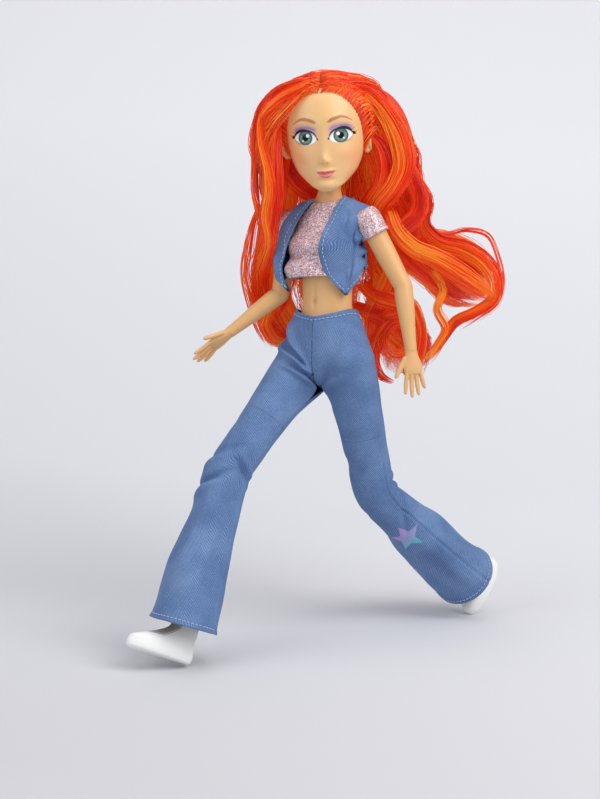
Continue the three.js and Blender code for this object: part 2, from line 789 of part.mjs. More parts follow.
function trousersShell() {
  const rings = { left: folded(trouserLegRings("left")), right: folded(trouserLegRings("right")) };
  const outer = joined([
    solid(loft(swell(seatRings, cloth.denimThickness))),
    ...bothSides((side) => solid(loft(swell(rings[side], cloth.denimThickness)))),
  ]);
  const inner = joined([
    solid(loft(seatRings)),
    ...bothSides((side) => solid(loft(pastTheHem(rings[side])))),
  ]);
  const waist = beyond(vector(0, 0, trousers.waistHeight), axisZ);
  return cutBy(outer, [inner, waist, backOpening(trousers.waistHeight - strip.length, trousers.waistHeight)]);
}

// The inner surface runs on past the hem, so that the leg stays open.
function pastTheHem(rings) {
  const [before, last] = rings.slice(-2).map(centre);
  const step = last.clone().sub(before).normalize().multiplyScalar(overrun);
  return [...rings, rings[rings.length - 1].map((point) => point.clone().add(step))];
}

function trousersHalf(side, shell) {
  const sign = sideSigns[side];
  return shell.subtract(beyond(vector((sign * gap) / 2, 0, 0), vector(-sign, 0, 0)));
}

// Tops

const bustRings = torsoRings.slice(6, -1);

const knitOuter = gap + cloth.knitThickness;
const denimInner = knitOuter + gap;

// The vest hangs from the bust. Height, half width, depth in front and behind, as shares of the torso's sizes.
const vestShares = [
  [0.33, 0.84, 0.86, 0.8],
  [0.45, 0.86, 1.0, 0.82],
  [0.56, 0.86, 1.12, 0.84],
  [0.63, 0.855, 1.23, 0.88],
  [0.7, 0.85, 1.09, 0.88],
  [0.775, 0.87, 0.84, 0.83],
  [0.835, 0.85, 0.7, 0.75],
  [0.875, 0.7, 0.64, 0.68],
  [0.915, 0.52, 0.62, 0.64],
];
const vestRings = vestShares.map(([height, width, front, back]) =>
  levelRing(
    sides.body,
    height * torso.height,
    width * torso.halfWidth,
    front * torso.halfDepth,
    back * torso.halfDepth,
  ),
);

// Holes in the layers, round the arms.
const armholes = (radius) =>
  bothSides((side) => {
    const sign = sideSigns[side];
    const inner = shoulder.faceHalfWidth - shoulder.bossRadius - gap * 3;
    const start = vector(sign * inner, shoulder.setback, shoulderHeight);
    return rod(start, vector(sign, 0, 0), shoulder.halfWidth, radius);
  });

function bodice() {
  const below = beyond(vector(0, 0, top.hemHeight), vector(0, 0, -1));
  const above = beyond(vector(0, 0, top.neckHeight), axisZ);
  const layer = solid(loft(swell(bustRings, knitOuter))).subtract(solid(loft(swell(bustRings, gap))));
  const opening = backOpening(top.hemHeight, top.neckHeight);
  return cutBy(layer, [below, above, opening, ...armholes(top.armholeRadius)]);
}

const solidIn = (matrix, rings) => solid(loft(moved(rings, matrix)));

// What the arms and their sleeves fill, with a clearance.
const sleeveRooms = () =>
  bothSides((side) => solidIn(armFrame(side), swell(armRings(side), gap * 2 + cloth.knitThickness)));

// A cap sleeve: a short sleeve round the top of the arm.
function sleeve(side) {
  const sign = sideSigns[side];
  const rings = armRings(side);
  const shell = solid(loft(swell(rings, gap + cloth.knitThickness))).subtract(solid(loft(swell(rings, gap))));
  const face = shoulder.faceHalfWidth - shoulder.halfWidth + gap;
  const inside = beyond(vector(sign * face, 0, 0), vector(-sign, 0, 0));
  const down = turnedOut(side, vector(0, 0, -1));
  const below = beyond(down.clone().multiplyScalar(top.sleeveLength), down);
  return cutBy(shell, [inside, below]);
}

// Outline of a front panel on the doll's left, as shares of the torso's half width and height.
const panelShares = [
  [0.47, 0.95],
  [0.45, 0.83],
  [0.37, 0.74],
  [0.32, 0.66],
  [0.32, 0.58],
  [0.38, 0.51],
  [0.5, 0.44],
  [0.7, 0.385],
  [0.86, 0.42],
  [1.2, 0.47],
  [1.2, 0.95],
];

function vestPanel(side, shell) {
  const sign = sideSigns[side];
  const outline = panelShares.map(([x, z]) => [sign * x * torso.halfWidth, z * torso.height]);
  const front = frontal(outline, -reach / 4, -gap / 2);
  return shell.intersect(front);
}

function vestBack(shell) {
  const hem = beyond(vector(0, 0, vest.hemHeight), vector(0, 0, -1));
  const front = beyond(vector(0, gap / 2, 0), vector(0, -1, 0));
  return cutBy(shell, [hem, front]);
}

// The same rings with the first and last set further out, so that a cut by them leaves the ends open.
function longer(rings) {
  const push = (ring, height) => ring.map((point) => point.clone().add(vector(0, 0, height)));
  return [push(rings[0], -overrun), ...rings, push(rings[rings.length - 1], overrun)];
}

function vestShell() {
  const above = beyond(vector(0, 0, vest.collarHeight), axisZ);
  const neckline = rod(vector(0, 0, top.neckHeight - overrun), axisZ, overrun * 4, vest.necklineRadius);
  const body = solid(loft(swell(vestRings, cloth.denimThickness))).subtract(solid(loft(longer(vestRings))));
  const knitRoom = solid(loft(swell(bustRings, denimInner)));
  return cutBy(body, [knitRoom, above, neckline, ...armholes(vest.armholeRadius), ...sleeveRooms()]);
}

// Hook-and-loop strips close the clothes at the back. Each lies in an opening of its own in the cloth.
function backOpening(low, high) {
  const half = strip.width / 2 + gap;
  return block(vector(-half, 0, low - overrun), vector(half, reach / 4, high + overrun));
}

function stripSolid(rings, thickness, low, high) {
  const shell = solid(loft(swell(rings, thickness))).subtract(solid(loft(longer(rings))));
  const column = block(vector(-strip.width / 2, 0, low), vector(strip.width / 2, reach / 4, high));
  return shell.intersect(column);
}

// Hair, rooted in the head. The crown is a cap that leaves the face free.

// Height, half width, front edge and back edge of the crown, as shares of the head's sizes.
const crownShares = [
  [0.08, 1.0, -0.05, 1.12],
  [0.2, 1.14, -0.35, 1.28],
  [0.38, 1.22, -0.62, 1.36],
  [0.56, 1.26, -0.84, 1.4],
  [0.74, 1.22, -0.93, 1.34],
  [0.88, 1.02, -0.83, 1.14],
  [0.97, 0.74, -0.6, 0.84],
  [1.0, 0.42, -0.32, 0.5],
];
const faceShares = { middle: 0.36, halfHeight: 0.5, halfWidth: 0.96, depth: 0.12 };

function crownRings() {
  return crownShares.map(([height, width, front, back]) => {
    const [near, far] = [front * head.halfDepth, back * head.halfDepth];
    const depth = (far - near) / 2;
    const middle = (near + far) / 2;
    return levelRing(sides.body, height * head.height, width * head.halfWidth, depth, depth, 0, middle);
  });
}

function crown() {
  const face = new THREE.CylinderGeometry(1, 1, head.halfDepth * 2, sides.body);
  face.scale(faceShares.halfWidth * head.halfWidth, 1, faceShares.halfHeight * head.height);
  face.translate(0, -(1 + faceShares.depth) * head.halfDepth, faceShares.middle * head.height);
  const scalp = solid(loft(swell(headRings, gap)));
  const neckRoom = ball(vector(0, 0, 0), torso.neckRadius + head.neckClearance);
  return cutBy(solid(loft(crownRings())), [
    scalp,
    solid(face),
    neckRoom,
    ...bothSides((side) => earSolid(side, gap)),
  ]);
}

// Locks and falls: stations from root to tip, from the neck pin. Sideways, back and up, then half breadth and
// half thickness, all as shares of the head's height.
const lockShares = {
  right_front_lock: [
    [-0.1, -0.38, 0.86, 0.05, 0.06],
    [-0.33, -0.38, 0.8, 0.08, 0.08],
    [-0.52, -0.35, 0.61, 0.09, 0.1],
    [-0.6, -0.31, 0.32, 0.09, 0.1],
    [-0.64, -0.25, 0.0, 0.1, 0.1],
    [-0.67, -0.12, -0.31, 0.08, 0.1],
  ],
  right_fall: [
    [-0.54, -0.1, 0.28, 0.15, 0.14],
    [-0.57, 0.0, -0.08, 0.18, 0.16],
    [-0.73, 0.14, -0.43, 0.2, 0.14],
    [-0.81, 0.18, -0.76, 0.2, 0.14],
    [-0.79, 0.2, -1.09, 0.22, 0.14],
    [-0.66, 0.24, -1.37, 0.2, 0.12],
    [-0.52, 0.28, -1.57, 0.13, 0.1],
  ],
  left_fall: [
    [0.1, 0.18, 0.82, 0.15, 0.16],
    [0.3, 0.33, 0.65, 0.24, 0.24],
    [0.39, 0.43, 0.35, 0.27, 0.27],
    [0.41, 0.5, -0.01, 0.27, 0.27],
    [0.32, 0.57, -0.35, 0.24, 0.24],
    [0.24, 0.65, -0.6, 0.2, 0.18],
  ],
  swept_lock: [
    [0.31, 0.75, -0.47, 0.18, 0.14],
    [0.49, 0.91, -0.59, 0.27, 0.16],
    [0.69, 1.08, -0.73, 0.35, 0.18],
    [0.86, 1.21, -0.88, 0.31, 0.16],
    [0.99, 1.29, -0.97, 0.16, 0.1],
  ],
  left_curls: [
    [0.2, 0.71, -0.67, 0.16, 0.16],
    [0.18, 0.75, -0.99, 0.18, 0.16],
    [0.24, 0.81, -1.3, 0.26, 0.16],
    [0.36, 0.83, -1.55, 0.24, 0.14],
    [0.37, 0.79, -1.76, 0.15, 0.1],
  ],
  back_fall: [
    [-0.2, 0.34, 0.66, 0.34, 0.18],
    [-0.22, 0.44, 0.3, 0.4, 0.2],
    [-0.23, 0.48, -0.1, 0.42, 0.2],
    [-0.26, 0.48, -0.5, 0.4, 0.19],
    [-0.27, 0.46, -0.88, 0.36, 0.18],
    [-0.26, 0.48, -1.2, 0.28, 0.15],
    [-0.22, 0.5, -1.48, 0.14, 0.08],
  ],
};

// The locks are broad across the way the doll looks.
const breadthWay = axisX.clone().applyAxisAngle(axisZ, (pose.turn + pose.nod / 2) * degree);

function lockRings(name) {
  const stations = lockShares[name].map(([across, back, up, breadth, thickness]) => ({
    at: vector(across, back, up).multiplyScalar(head.height).add(neckPoint),
    width: breadth * head.height,
    depth: thickness * head.height,
  }));
  return sweep(stations, breadthWay, sides.hair);
}

const largest = (body) =>
  body.decompose().reduce((most, part) => (part.volume() > most.volume() ? part : most));

// Each lock stays clear of the body, the clothes and the hair named before it.
function hairPieces(clothes) {
  const taken = [
    solidIn(headFrame, swell(crownRings(), gap)),
    solidIn(headFrame, swell(headRings, gap)),
    solid(loft(swell(torsoRings, gap))),
    solid(loft(swell(vestRings, cloth.denimThickness + gap))),
    ...sleeveRooms(),
    ...clothes,
  ];
  return Object.keys(lockShares).map((name) => {
    const rings = lockRings(name);
    const body = largest(cutBy(solid(loft(rings)), taken));
    taken.push(solid(loft(swell(rings, gap))));
    return [name, body];
  });
}

// Materials
const material = (color, roughness) => new THREE.MeshStandardMaterial({ color, roughness, metalness: 0 });
const materials = {
  skin: material(0xdda878, 0.5),
  peg: material(0xe8e4dc, 0.5),
  pin: new THREE.MeshStandardMaterial({ color: 0xb8bcc0, roughness: 0.3, metalness: 1 }),
  hair: material(0xe6401a, 0.4),
  denim: material(0x5f82b9, 0.9),
  knit: material(0xd8b0b4, 0.6),
  shoe: material(0xf2f2f2, 0.45),
  fastener: material(0xf4f4f4, 0.9),
};

function piece(name, body, finish) {
  const mesh = new THREE.Mesh(geometryOf(body), finish);
  mesh.name = name;
  return mesh;
}

function framed(matrix, ...children) {
  const group = new THREE.Group();
  group.applyMatrix4(matrix);
  group.add(...children);
  return group;
}

// Assembly, in the pelvis frame
const doll = new THREE.Group();

const shell = torsoShell();
const frontHalf = shell.subtract(beyond(vector(0, -gap / 2, 0), axisY));
const backHalf = shell.subtract(beyond(vector(0, gap / 2, 0), vector(0, -1, 0)));
doll.add(piece("torso_front_shell", frontHalf, materials.skin));
doll.add(piece("torso_back_shell", backHalf, materials.skin));
doll.add(piece("neck_pin", neckPin(), materials.pin));
const neckFrame = chain(shift(neckPoint), turnAbout(axisX, pose.nod));
doll.add(framed(neckFrame, piece("neck_knob", neckKnob(), materials.peg)));
doll.add(framed(headFrame, piece("head_shell", headShell(), materials.skin)));

const denimShell = trousersShell();
const vestLayer = vestShell();
for (const side of ["left", "right"]) {
  doll.add(piece(`shoulder_peg_${side}`, shoulderPeg(side), materials.peg));
  doll.add(piece(`hip_peg_${side}`, hipPeg(side), materials.peg));
  doll.add(framed(armFrame(side), piece(`arm_${side}`, armSolid(side), materials.skin)));
  doll.add(framed(armFrame(side), piece(`top_sleeve_${side}`, sleeve(side), materials.knit)));
  doll.add(
    framed(
      thighFrame(side),
      piece(`thigh_${side}`, thighSolid(side), materials.skin),
      piece(`knee_pin_${side}`, kneePin(), materials.pin),
    ),
  );
  doll.add(
    framed(
      shinFrame(side),
      piece(`lower_leg_${side}`, shinSolid(), materials.skin),
      piece(`shoe_${side}`, shoeSolid(), materials.shoe),
    ),
  );
  doll.add(piece(`trousers_${side}_half`, trousersHalf(side, denimShell), materials.denim));
  doll.add(piece(`vest_front_${side}`, vestPanel(side, vestLayer), materials.denim));
}
doll.add(framed(headFrame, piece("hair_crown", crown(), materials.hair)));
for (const [name, body] of hairPieces([denimShell])) {
  doll.add(piece(`hair_${name}`, body, materials.hair));
}
doll.add(piece("vest_back", vestBack(vestLayer), materials.denim));
doll.add(piece("top_bodice", bodice(), materials.knit));
const topStrip = stripSolid(swell(bustRings, gap), cloth.knitThickness, top.hemHeight, top.neckHeight);
doll.add(piece("top_back_fastener", topStrip, materials.fastener));
const trouserStrip = stripSolid(
  seatRings,
  cloth.denimThickness,
  trousers.waistHeight - strip.length,
  trousers.waistHeight,
);
doll.add(piece("trousers_back_fastener", trouserStrip, materials.fastener));

// Stand the doll on the floor, with its box centred over the origin.
const lean = chain(turnAbout(axisY, -pose.leanRight), turnAbout(axisX, -pose.leanBack));
doll.applyMatrix4(lean);
doll.updateMatrixWorld(true);
const box = new THREE.Box3().setFromObject(doll, true);
doll.position.set(-(box.min.x + box.max.x) / 2, -(box.min.y + box.max.y) / 2, -box.min.z);

export default doll;
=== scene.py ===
"""Looks of a jointed fashion doll in a long stride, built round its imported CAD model.

Lengths are millimetres in the doll's own frame until a mesh is made: origin midway between the hips,
front -Y, the doll's left +X, +Z up along its spine. The head's own frame has its origin at the neck pin.
"""
import json
import math

import bpy
import numpy as np
from mathutils import Matrix, Vector

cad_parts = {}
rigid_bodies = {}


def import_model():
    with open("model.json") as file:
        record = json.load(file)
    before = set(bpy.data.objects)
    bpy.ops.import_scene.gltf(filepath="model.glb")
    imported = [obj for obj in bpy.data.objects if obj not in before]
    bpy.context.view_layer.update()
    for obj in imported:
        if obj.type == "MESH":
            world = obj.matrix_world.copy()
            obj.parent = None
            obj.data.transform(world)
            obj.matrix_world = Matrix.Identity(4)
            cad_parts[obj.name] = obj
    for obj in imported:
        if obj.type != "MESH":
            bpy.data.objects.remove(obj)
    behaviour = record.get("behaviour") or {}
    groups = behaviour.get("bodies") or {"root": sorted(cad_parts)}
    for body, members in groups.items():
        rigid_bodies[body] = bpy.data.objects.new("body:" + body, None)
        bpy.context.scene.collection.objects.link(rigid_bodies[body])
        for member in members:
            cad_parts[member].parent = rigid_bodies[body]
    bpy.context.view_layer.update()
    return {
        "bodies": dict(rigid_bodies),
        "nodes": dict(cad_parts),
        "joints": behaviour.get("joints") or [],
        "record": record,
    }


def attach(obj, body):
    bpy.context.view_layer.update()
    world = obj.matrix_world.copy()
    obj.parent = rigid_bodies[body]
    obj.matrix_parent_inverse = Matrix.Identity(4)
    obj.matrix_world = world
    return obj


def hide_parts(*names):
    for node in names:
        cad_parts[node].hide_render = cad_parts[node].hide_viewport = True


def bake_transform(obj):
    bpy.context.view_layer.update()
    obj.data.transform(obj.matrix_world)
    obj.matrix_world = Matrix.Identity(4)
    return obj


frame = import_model()

MM = 0.001
SIDES = {"left": 1, "right": -1}
rng = np.random.default_rng(7)


def unit(v):
    v = np.asarray(v, float)
    return v / np.linalg.norm(v, axis=-1, keepdims=True)


# Frames


def turned_only(matrix):
    m = matrix.copy()
    m[:3, 3] = 0
    return m


def shift(x, y=0.0, z=0.0):
    m = np.eye(4)
    m[:3, 3] = (x, y, z)
    return m


def turn(axis, degrees):
    m = np.eye(4)
    m[:3, :3] = np.array(Matrix.Rotation(math.radians(degrees), 3, Vector(axis)))
    return m


def moved(points, matrix):
    return np.asarray(points, float) @ matrix[:3, :3].T + matrix[:3, 3]


joint_at = {j["name"]: np.array(j["pos_m"]) / MM for j in frame["joints"]}
X_WAY = unit(joint_at["hip_left"] - joint_at["hip_right"])
Z_WAY = unit(joint_at["neck_nod"] - (joint_at["hip_left"] + joint_at["hip_right"]) / 2)
WORLD = np.eye(4)
WORLD[:3, :3] = np.stack([X_WAY, np.cross(Z_WAY, X_WAY), Z_WAY], axis=1)
WORLD[:3, 3] = (joint_at["hip_left"] + joint_at["hip_right"]) / 2

# Sizes and pose, as in the CAD source
TORSO = dict(height=84, half_width=19, half_depth=12, neck_radius=5.5)
HEAD = dict(height=51, half_width=19, half_depth=19.5)
SHOULDER = dict(half_width=20.5, setback=0.5, height=66.02, face=16.1)
ARM = dict(upper=35, fore=30, hand=21.5, radius=4.9, hand_width=8.6, finger=1.0)
ARM_OUT = {"left": 24, "right": 4}
ELBOW = {"left": 21, "right": 43}
ELBOW_OUT = {"left": -45, "right": 58}
HAND_TURN = {"left": 40, "right": 5}
HIP = dict(half_width=12, radius=10.5, tilt=45)
THIGH = dict(length=65, radius=10.3)
SHIN = dict(length=80, radius=6.9, ankle=3.8)
SHOE = dict(height=17, length=30, half_width=6.2, ankle_height=10, toe=21)
DENIM = 0.8
KNIT = 0.7
GAP = 0.35
TROUSERS = dict(waist=23, hem=74, hem_width=17.4, hem_depth=14.6, clearance=0.8)
HIP_ANGLE = {"left": -27, "right": 57}
KNEE_ANGLE = {"left": 42, "right": 18}
SWING = {"left": -16.5, "right": 9}
NOD, TURN = 11, 27

EYE4 = np.eye(4)
HEAD_FRAME = shift(0, 0, TORSO["height"]) @ turn((1, 0, 0), NOD) @ turn((0, 0, 1), TURN)


def hip_axis(side):
    tilt = math.radians(HIP["tilt"])
    return np.array((SIDES[side] * math.sin(tilt), 0, -math.cos(tilt)))


def thigh_frame(side):
    return shift(SIDES[side] * HIP["half_width"]) @ turn(hip_axis(side), -SIDES[side] * HIP_ANGLE[side])


def knee_frame(side, share=1.0):
    return thigh_frame(side) @ shift(0, 0, -THIGH["length"]) @ turn((1, 0, 0), KNEE_ANGLE[side] * share)


def past_hip(side, points):
    """How far points lie past the slanted plane of the hip."""
    return (points - np.array((SIDES[side] * HIP["half_width"], 0, 0))) @ hip_axis(side)


def metres(matrix, x, y, z):
    """A place of one of the doll's frames in metres in the row frame."""
    return moved(moved([(x, y, z)], matrix), WORLD)[0] * MM


def arm_frame(side):
    place = shift(SIDES[side] * SHOULDER["half_width"], SHOULDER["setback"], SHOULDER["height"])
    return place @ turn((1, 0, 0), -SWING[side])


# Camera

CAMERA = dict(azimuth=33, elevation=7, distance=800, scale=2.15, pelvis=(326.1, 361.7))
PICTURE = (600, 799)


def way_from(azimuth, elevation):
    a, e = math.radians(azimuth), math.radians(elevation)
    return np.array((math.sin(a) * math.cos(e), -math.cos(a) * math.cos(e), math.sin(e)))


def camera_ways():
    """The way to the camera, and right and up as it sees them."""
    back = way_from(CAMERA["azimuth"], CAMERA["elevation"])
    right = way_from(CAMERA["azimuth"] + 90, 0)
    return back, right, np.cross(back, right)


def camera_aim():
    _, right, up = camera_ways()
    u, v = CAMERA["pelvis"]
    aim = WORLD[:3, 3] - right * (u - PICTURE[0] / 2) / CAMERA["scale"]
    return aim + up * (v - PICTURE[1] / 2) / CAMERA["scale"]


def towards_camera(frame=EYE4):
    """The way to the camera in a frame of the doll."""
    return moved([camera_ways()[0]], np.linalg.inv(turned_only(WORLD @ frame)))[0]


# Curves and grids


def curve(xs, ys, at):
    """A smooth curve through points, read at some places."""
    xs, ys, at = np.asarray(xs, float), np.asarray(ys, float), np.asarray(at, float)
    if len(xs) == 2:
        slope = np.repeat(((ys[1] - ys[0]) / (xs[1] - xs[0]))[None], 2, axis=0)
    else:
        slope = np.gradient(ys, xs, axis=0)
    i = np.clip(np.searchsorted(xs, at, side="right") - 1, 0, len(xs) - 2)
    h = xs[i + 1] - xs[i]
    t = np.clip((at - xs[i]) / h, 0, 1)
    if ys.ndim > 1:
        h, t = (a.reshape(a.shape + (1,) * (ys.ndim - 1)) for a in (h, t))
    a, b = ys[i], ys[i + 1]
    return (
        (2 * t**3 - 3 * t**2 + 1) * a
        + (t**3 - 2 * t**2 + t) * h * slope[i]
        + (-2 * t**3 + 3 * t**2) * b
        + (t**3 - t**2) * h * slope[i + 1]
    )


def resampled(points, count):
    """Points along a smooth path, evenly spread."""
    points = np.asarray(points, float)
    steps = np.linalg.norm(np.diff(points[:, :3], axis=0), axis=1)
    along = np.concatenate([[0], np.cumsum(np.maximum(steps, 1e-6))])
    return curve(along, points, np.linspace(0, along[-1], count))


def run_of(path):
    """Millimetres run along a path at each of its points."""
    steps = np.linalg.norm(np.diff(path, axis=0), axis=1)
    return np.concatenate([[0], np.cumsum(steps)])


def trimmed(path, begin, end):
    """The part of a path between two shares of its points."""
    return curve(np.linspace(0, 1, len(path)), path, np.linspace(begin, end, len(path)))


def ease(x, low=0.0, high=1.0):
    t = np.clip((np.asarray(x, float) - low) / (high - low), 0, 1)
    return t * t * (3 - 2 * t)


def bell(x, width):
    return np.exp(-((np.asarray(x, float) / width) ** 2))


def ring_angles(count):
    return np.arange(count) / count * 2 * math.pi


def squared(angles, power):
    """Cosine and sine of a ring that is rounder or squarer than a circle."""
    c, s = np.cos(angles), np.sin(angles)
    return np.sign(c) * np.abs(c) ** power, np.sign(s) * np.abs(s) ** power


def rings_at(x, y, z):
    """Level rings, z giving one height for each."""
    return np.stack([x, y, np.repeat(z[:, None], x.shape[1], axis=1)], axis=-1)


def level_rings(table, rows, angles, grow=0.0):
    """Level rings from a table of height, half width, depth in front and depth behind."""
    table = np.asarray(table, float)
    z = np.linspace(table[0, 0], table[-1, 0], rows)
    width, front, back = np.moveaxis(curve(table[:, 0], table[:, 1:], z), -1, 0)[..., None]
    c, s = np.cos(angles), np.sin(angles)
    return rings_at((width + grow) * c, (np.where(s < 0, front, back) + grow) * s, z)


def sweep(stations, side, rows, count):
    """Rings across a path. A station is a point, a half width along the side vector and a half depth."""
    stations = resampled(stations, rows)
    at = stations[:, :3]
    along = unit(np.gradient(at, axis=0))
    side = np.asarray(side, float)
    across = unit(side - along * (along @ side)[:, None])
    deep = np.cross(along, across)
    angles = ring_angles(count)
    return (
        at[:, None]
        + across[:, None] * (stations[:, 3:4] * np.cos(angles))[..., None]
        + deep[:, None] * (stations[:, 4:5] * np.sin(angles))[..., None]
    )


def normals_of(grid, wrap):
    if wrap:
        around = np.roll(grid, -1, axis=1) - np.roll(grid, 1, axis=1)
    else:
        around = np.gradient(grid, axis=1)
    along = np.gradient(grid, axis=0)
    normal = np.cross(around, along)
    size = np.linalg.norm(normal, axis=-1, keepdims=True)
    normal = normal / np.maximum(size, 1e-9)
    middle = grid.mean(axis=1, keepdims=True) if wrap else grid.mean(axis=(0, 1), keepdims=True)
    return normal if (normal * (grid - middle)).sum() > 0 else -normal


def grid_faces(rows, cols, wrap):
    r, c = np.meshgrid(np.arange(rows - 1), np.arange(cols if wrap else cols - 1), indexing="ij")
    r, c = r.ravel(), c.ravel()
    return np.stack([r, r, r + 1, r + 1], axis=1), np.stack([c, c + 1, c + 1, c], axis=1)


# Meshes


def mesh_piece(name, points, faces, maps=None, tones=None, matrix=EYE4, lining=None):
    """An object in metres in the row frame. faces is a list of index arrays, maps has corner coordinates.

    lining says of each face whether it has the second material.
    """
    world = moved(moved(points, matrix), WORLD) * MM
    mesh = bpy.data.meshes.new(name)
    mesh.vertices.add(len(world))
    mesh.vertices.foreach_set("co", world.astype(np.float32).ravel())
    loops = np.concatenate([f.ravel() for f in faces]).astype(np.int32)
    counts = np.concatenate([np.full(len(f), f.shape[1]) for f in faces])
    mesh.loops.add(len(loops))
    mesh.loops.foreach_set("vertex_index", loops)
    mesh.polygons.add(len(counts))
    starts = np.concatenate([[0], np.cumsum(counts)[:-1]]).astype(np.int32)
    mesh.polygons.foreach_set("loop_start", starts)
    mesh.polygons.foreach_set("use_smooth", np.ones(len(counts), bool))
    for map_name, corners in (maps or {}).items():
        layer = mesh.uv_layers.new(name=map_name)
        layer.uv.foreach_set("vector", np.asarray(corners, np.float32).ravel())
    for tone_name, values in (tones or {}).items():
        values = np.asarray(values, np.float32)
        kind = "FLOAT" if values.ndim == 1 else "FLOAT_COLOR"
        mesh.attributes.new(tone_name, kind, "POINT")
        if values.ndim > 1:
            values = np.concatenate([values, np.ones((len(values), 1), np.float32)], axis=1)
        field = "value" if kind == "FLOAT" else "color"
        mesh.attributes[tone_name].data.foreach_set(field, values.ravel())
    if lining is not None:
        mesh.attributes.new("lining", "INT", "FACE").data.foreach_set("value", lining.astype(np.int32))
    mesh.update(calc_edges=True)
    mesh.validate()
    obj = bpy.data.objects.new(name, mesh)
    bpy.context.scene.collection.objects.link(obj)
    return obj


def faces_outward(points, faces):
    """Whether a closed mesh's faces point outward."""
    total = 0.0
    for f in faces:
        corners = [points[f[:, k]] for k in range(f.shape[1])]
        for b, c in zip(corners[1:], corners[2:]):
            total += np.einsum("ij,ij->i", corners[0], np.cross(b, c)).sum()
    return total >= 0


def closed_rings(grid):
    """Points and faces of wrapped rings, with a fan at each end."""
    rows, cols = grid.shape[:2]
    rr, cc = grid_faces(rows, cols, True)
    points = np.concatenate([grid.reshape(-1, 3), grid[0].mean(0)[None], grid[-1].mean(0)[None]])
    i = np.arange(cols)
    j = (i + 1) % cols
    last = (rows - 1) * cols
    first_fan = np.stack([j, i, np.full(cols, rows * cols)], axis=1)
    last_fan = np.stack([last + i, last + j, np.full(cols, rows * cols + 1)], axis=1)
    quads, fans = rr * cols + cc % cols, np.concatenate([first_fan, last_fan])
    if faces_outward(points, [quads, fans]):
        return points, quads, fans, False
    return points, quads[:, ::-1], fans[:, ::-1], True


def skin_of(name, grid, matrix=EYE4, tones=None):
    """A closed surface over wrapped rings."""
    rows, cols = grid.shape[:2]
    points, quads, fans, turned = closed_rings(grid)
    rr, cc = grid_faces(rows, cols, True)
    around, along = lengths_of(grid, True)
    place = np.stack([around[rr, cc], along[rr, np.minimum(cc, cols - 1)]], axis=-1)
    place = place[:, ::-1] if turned else place
    surface = np.concatenate([place.reshape(-1, 2), np.zeros((fans.size, 2))])
    full = {}
    for key, values in (tones or {}).items():
        every = values.reshape(rows * cols, -1).squeeze()
        full[key] = np.concatenate([every, values[[0, -1]].mean(1)])
    return mesh_piece(name, points, [quads, fans], {"Surface": surface}, full, matrix)


def lengths_of(grid, wrap):
    """Millimetres round and along a grid, for patterns. Round is measured from the middle column."""
    cols = grid.shape[1]
    closed = np.concatenate([grid, grid[:, :1]], axis=1) if wrap else grid
    steps = np.linalg.norm(np.diff(closed, axis=1), axis=-1)
    around = np.concatenate([np.zeros((len(grid), 1)), np.cumsum(steps, axis=1)], axis=1)
    around -= around[:, cols // 2 : cols // 2 + 1]
    down = np.linalg.norm(np.diff(grid, axis=0), axis=-1)
    along = np.concatenate([np.zeros((1, cols)), np.cumsum(down, axis=0)], axis=0)
    return around, along


def cloth_of(name, outer, thickness, wrap=False, matrix=EYE4, start=0.0):
    """A cloth of some thickness whose outer face is the grid, with its edges closed."""
    rows, cols = outer.shape[:2]
    inner = outer - normals_of(outer, wrap) * thickness
    rr, cc = grid_faces(rows, cols, wrap)
    quads = rr * cols + cc % cols
    count = rows * cols
    points = np.concatenate([outer.reshape(-1, 3), inner.reshape(-1, 3)])
    around, along = lengths_of(outer, wrap)
    along = along + start
    mm = np.stack([around[rr, cc], along[rr, cc % cols]], axis=-1)
    edges, edge_mm = [], []

    def rim(index, at):
        a, b = index[:-1], index[1:]
        edges.append(np.stack([b, a, a + count, b + count], axis=1))
        edge_mm.append(np.stack([at[1:], at[:-1], at[:-1], at[1:]], axis=1))

    around_row = np.arange(cols + 1) if wrap else np.arange(cols)
    for row in (0, rows - 1):
        index = row * cols + around_row % cols
        at = np.stack([around[row, around_row], np.full(len(around_row), along[row].mean())], axis=-1)
        rim(index if row == 0 else index[::-1], at if row == 0 else at[::-1])
    if not wrap:
        for col in (0, cols - 1):
            index = np.arange(rows) * cols + col
            at = np.stack([around[:, col], along[:, col]], axis=-1)
            rim(index[::-1] if col == 0 else index, at[::-1] if col == 0 else at)
    faces = np.concatenate([quads, quads[:, ::-1] + count, *edges])
    corners = np.concatenate([mm, mm[:, ::-1], *edge_mm])
    if not faces_outward(points, [faces]):
        faces, corners = faces[:, ::-1], corners[:, ::-1]
    lining = np.zeros(len(faces), int)
    lining[len(quads) : 2 * len(quads)] = 1
    return mesh_piece(name, points, [faces], {"Surface": corners.reshape(-1, 2)}, None, matrix, lining)


def grid_at(grid, rows, cols):
    """Places on a grid at fractional rows and columns."""
    height, width = grid.shape[:2]
    rows = np.clip(np.asarray(rows, float), 0, height - 1.001)
    cols = np.clip(np.asarray(cols, float), 0, width - 1.001)
    r, c = np.floor(rows).astype(int), np.floor(cols).astype(int)
    fr, fc = (rows - r)[..., None], (cols - c)[..., None]
    r2, c2 = np.minimum(r + 1, height - 1), np.minimum(c + 1, width - 1)
    top = grid[r, c] * (1 - fc) + grid[r, c2] * fc
    low = grid[r2, c] * (1 - fc) + grid[r2, c2] * fc
    return top * (1 - fr) + low * fr


# Any way that no fibre or thread runs along
TUBE_REFERENCE = (0.31, 0.52, 0.79)


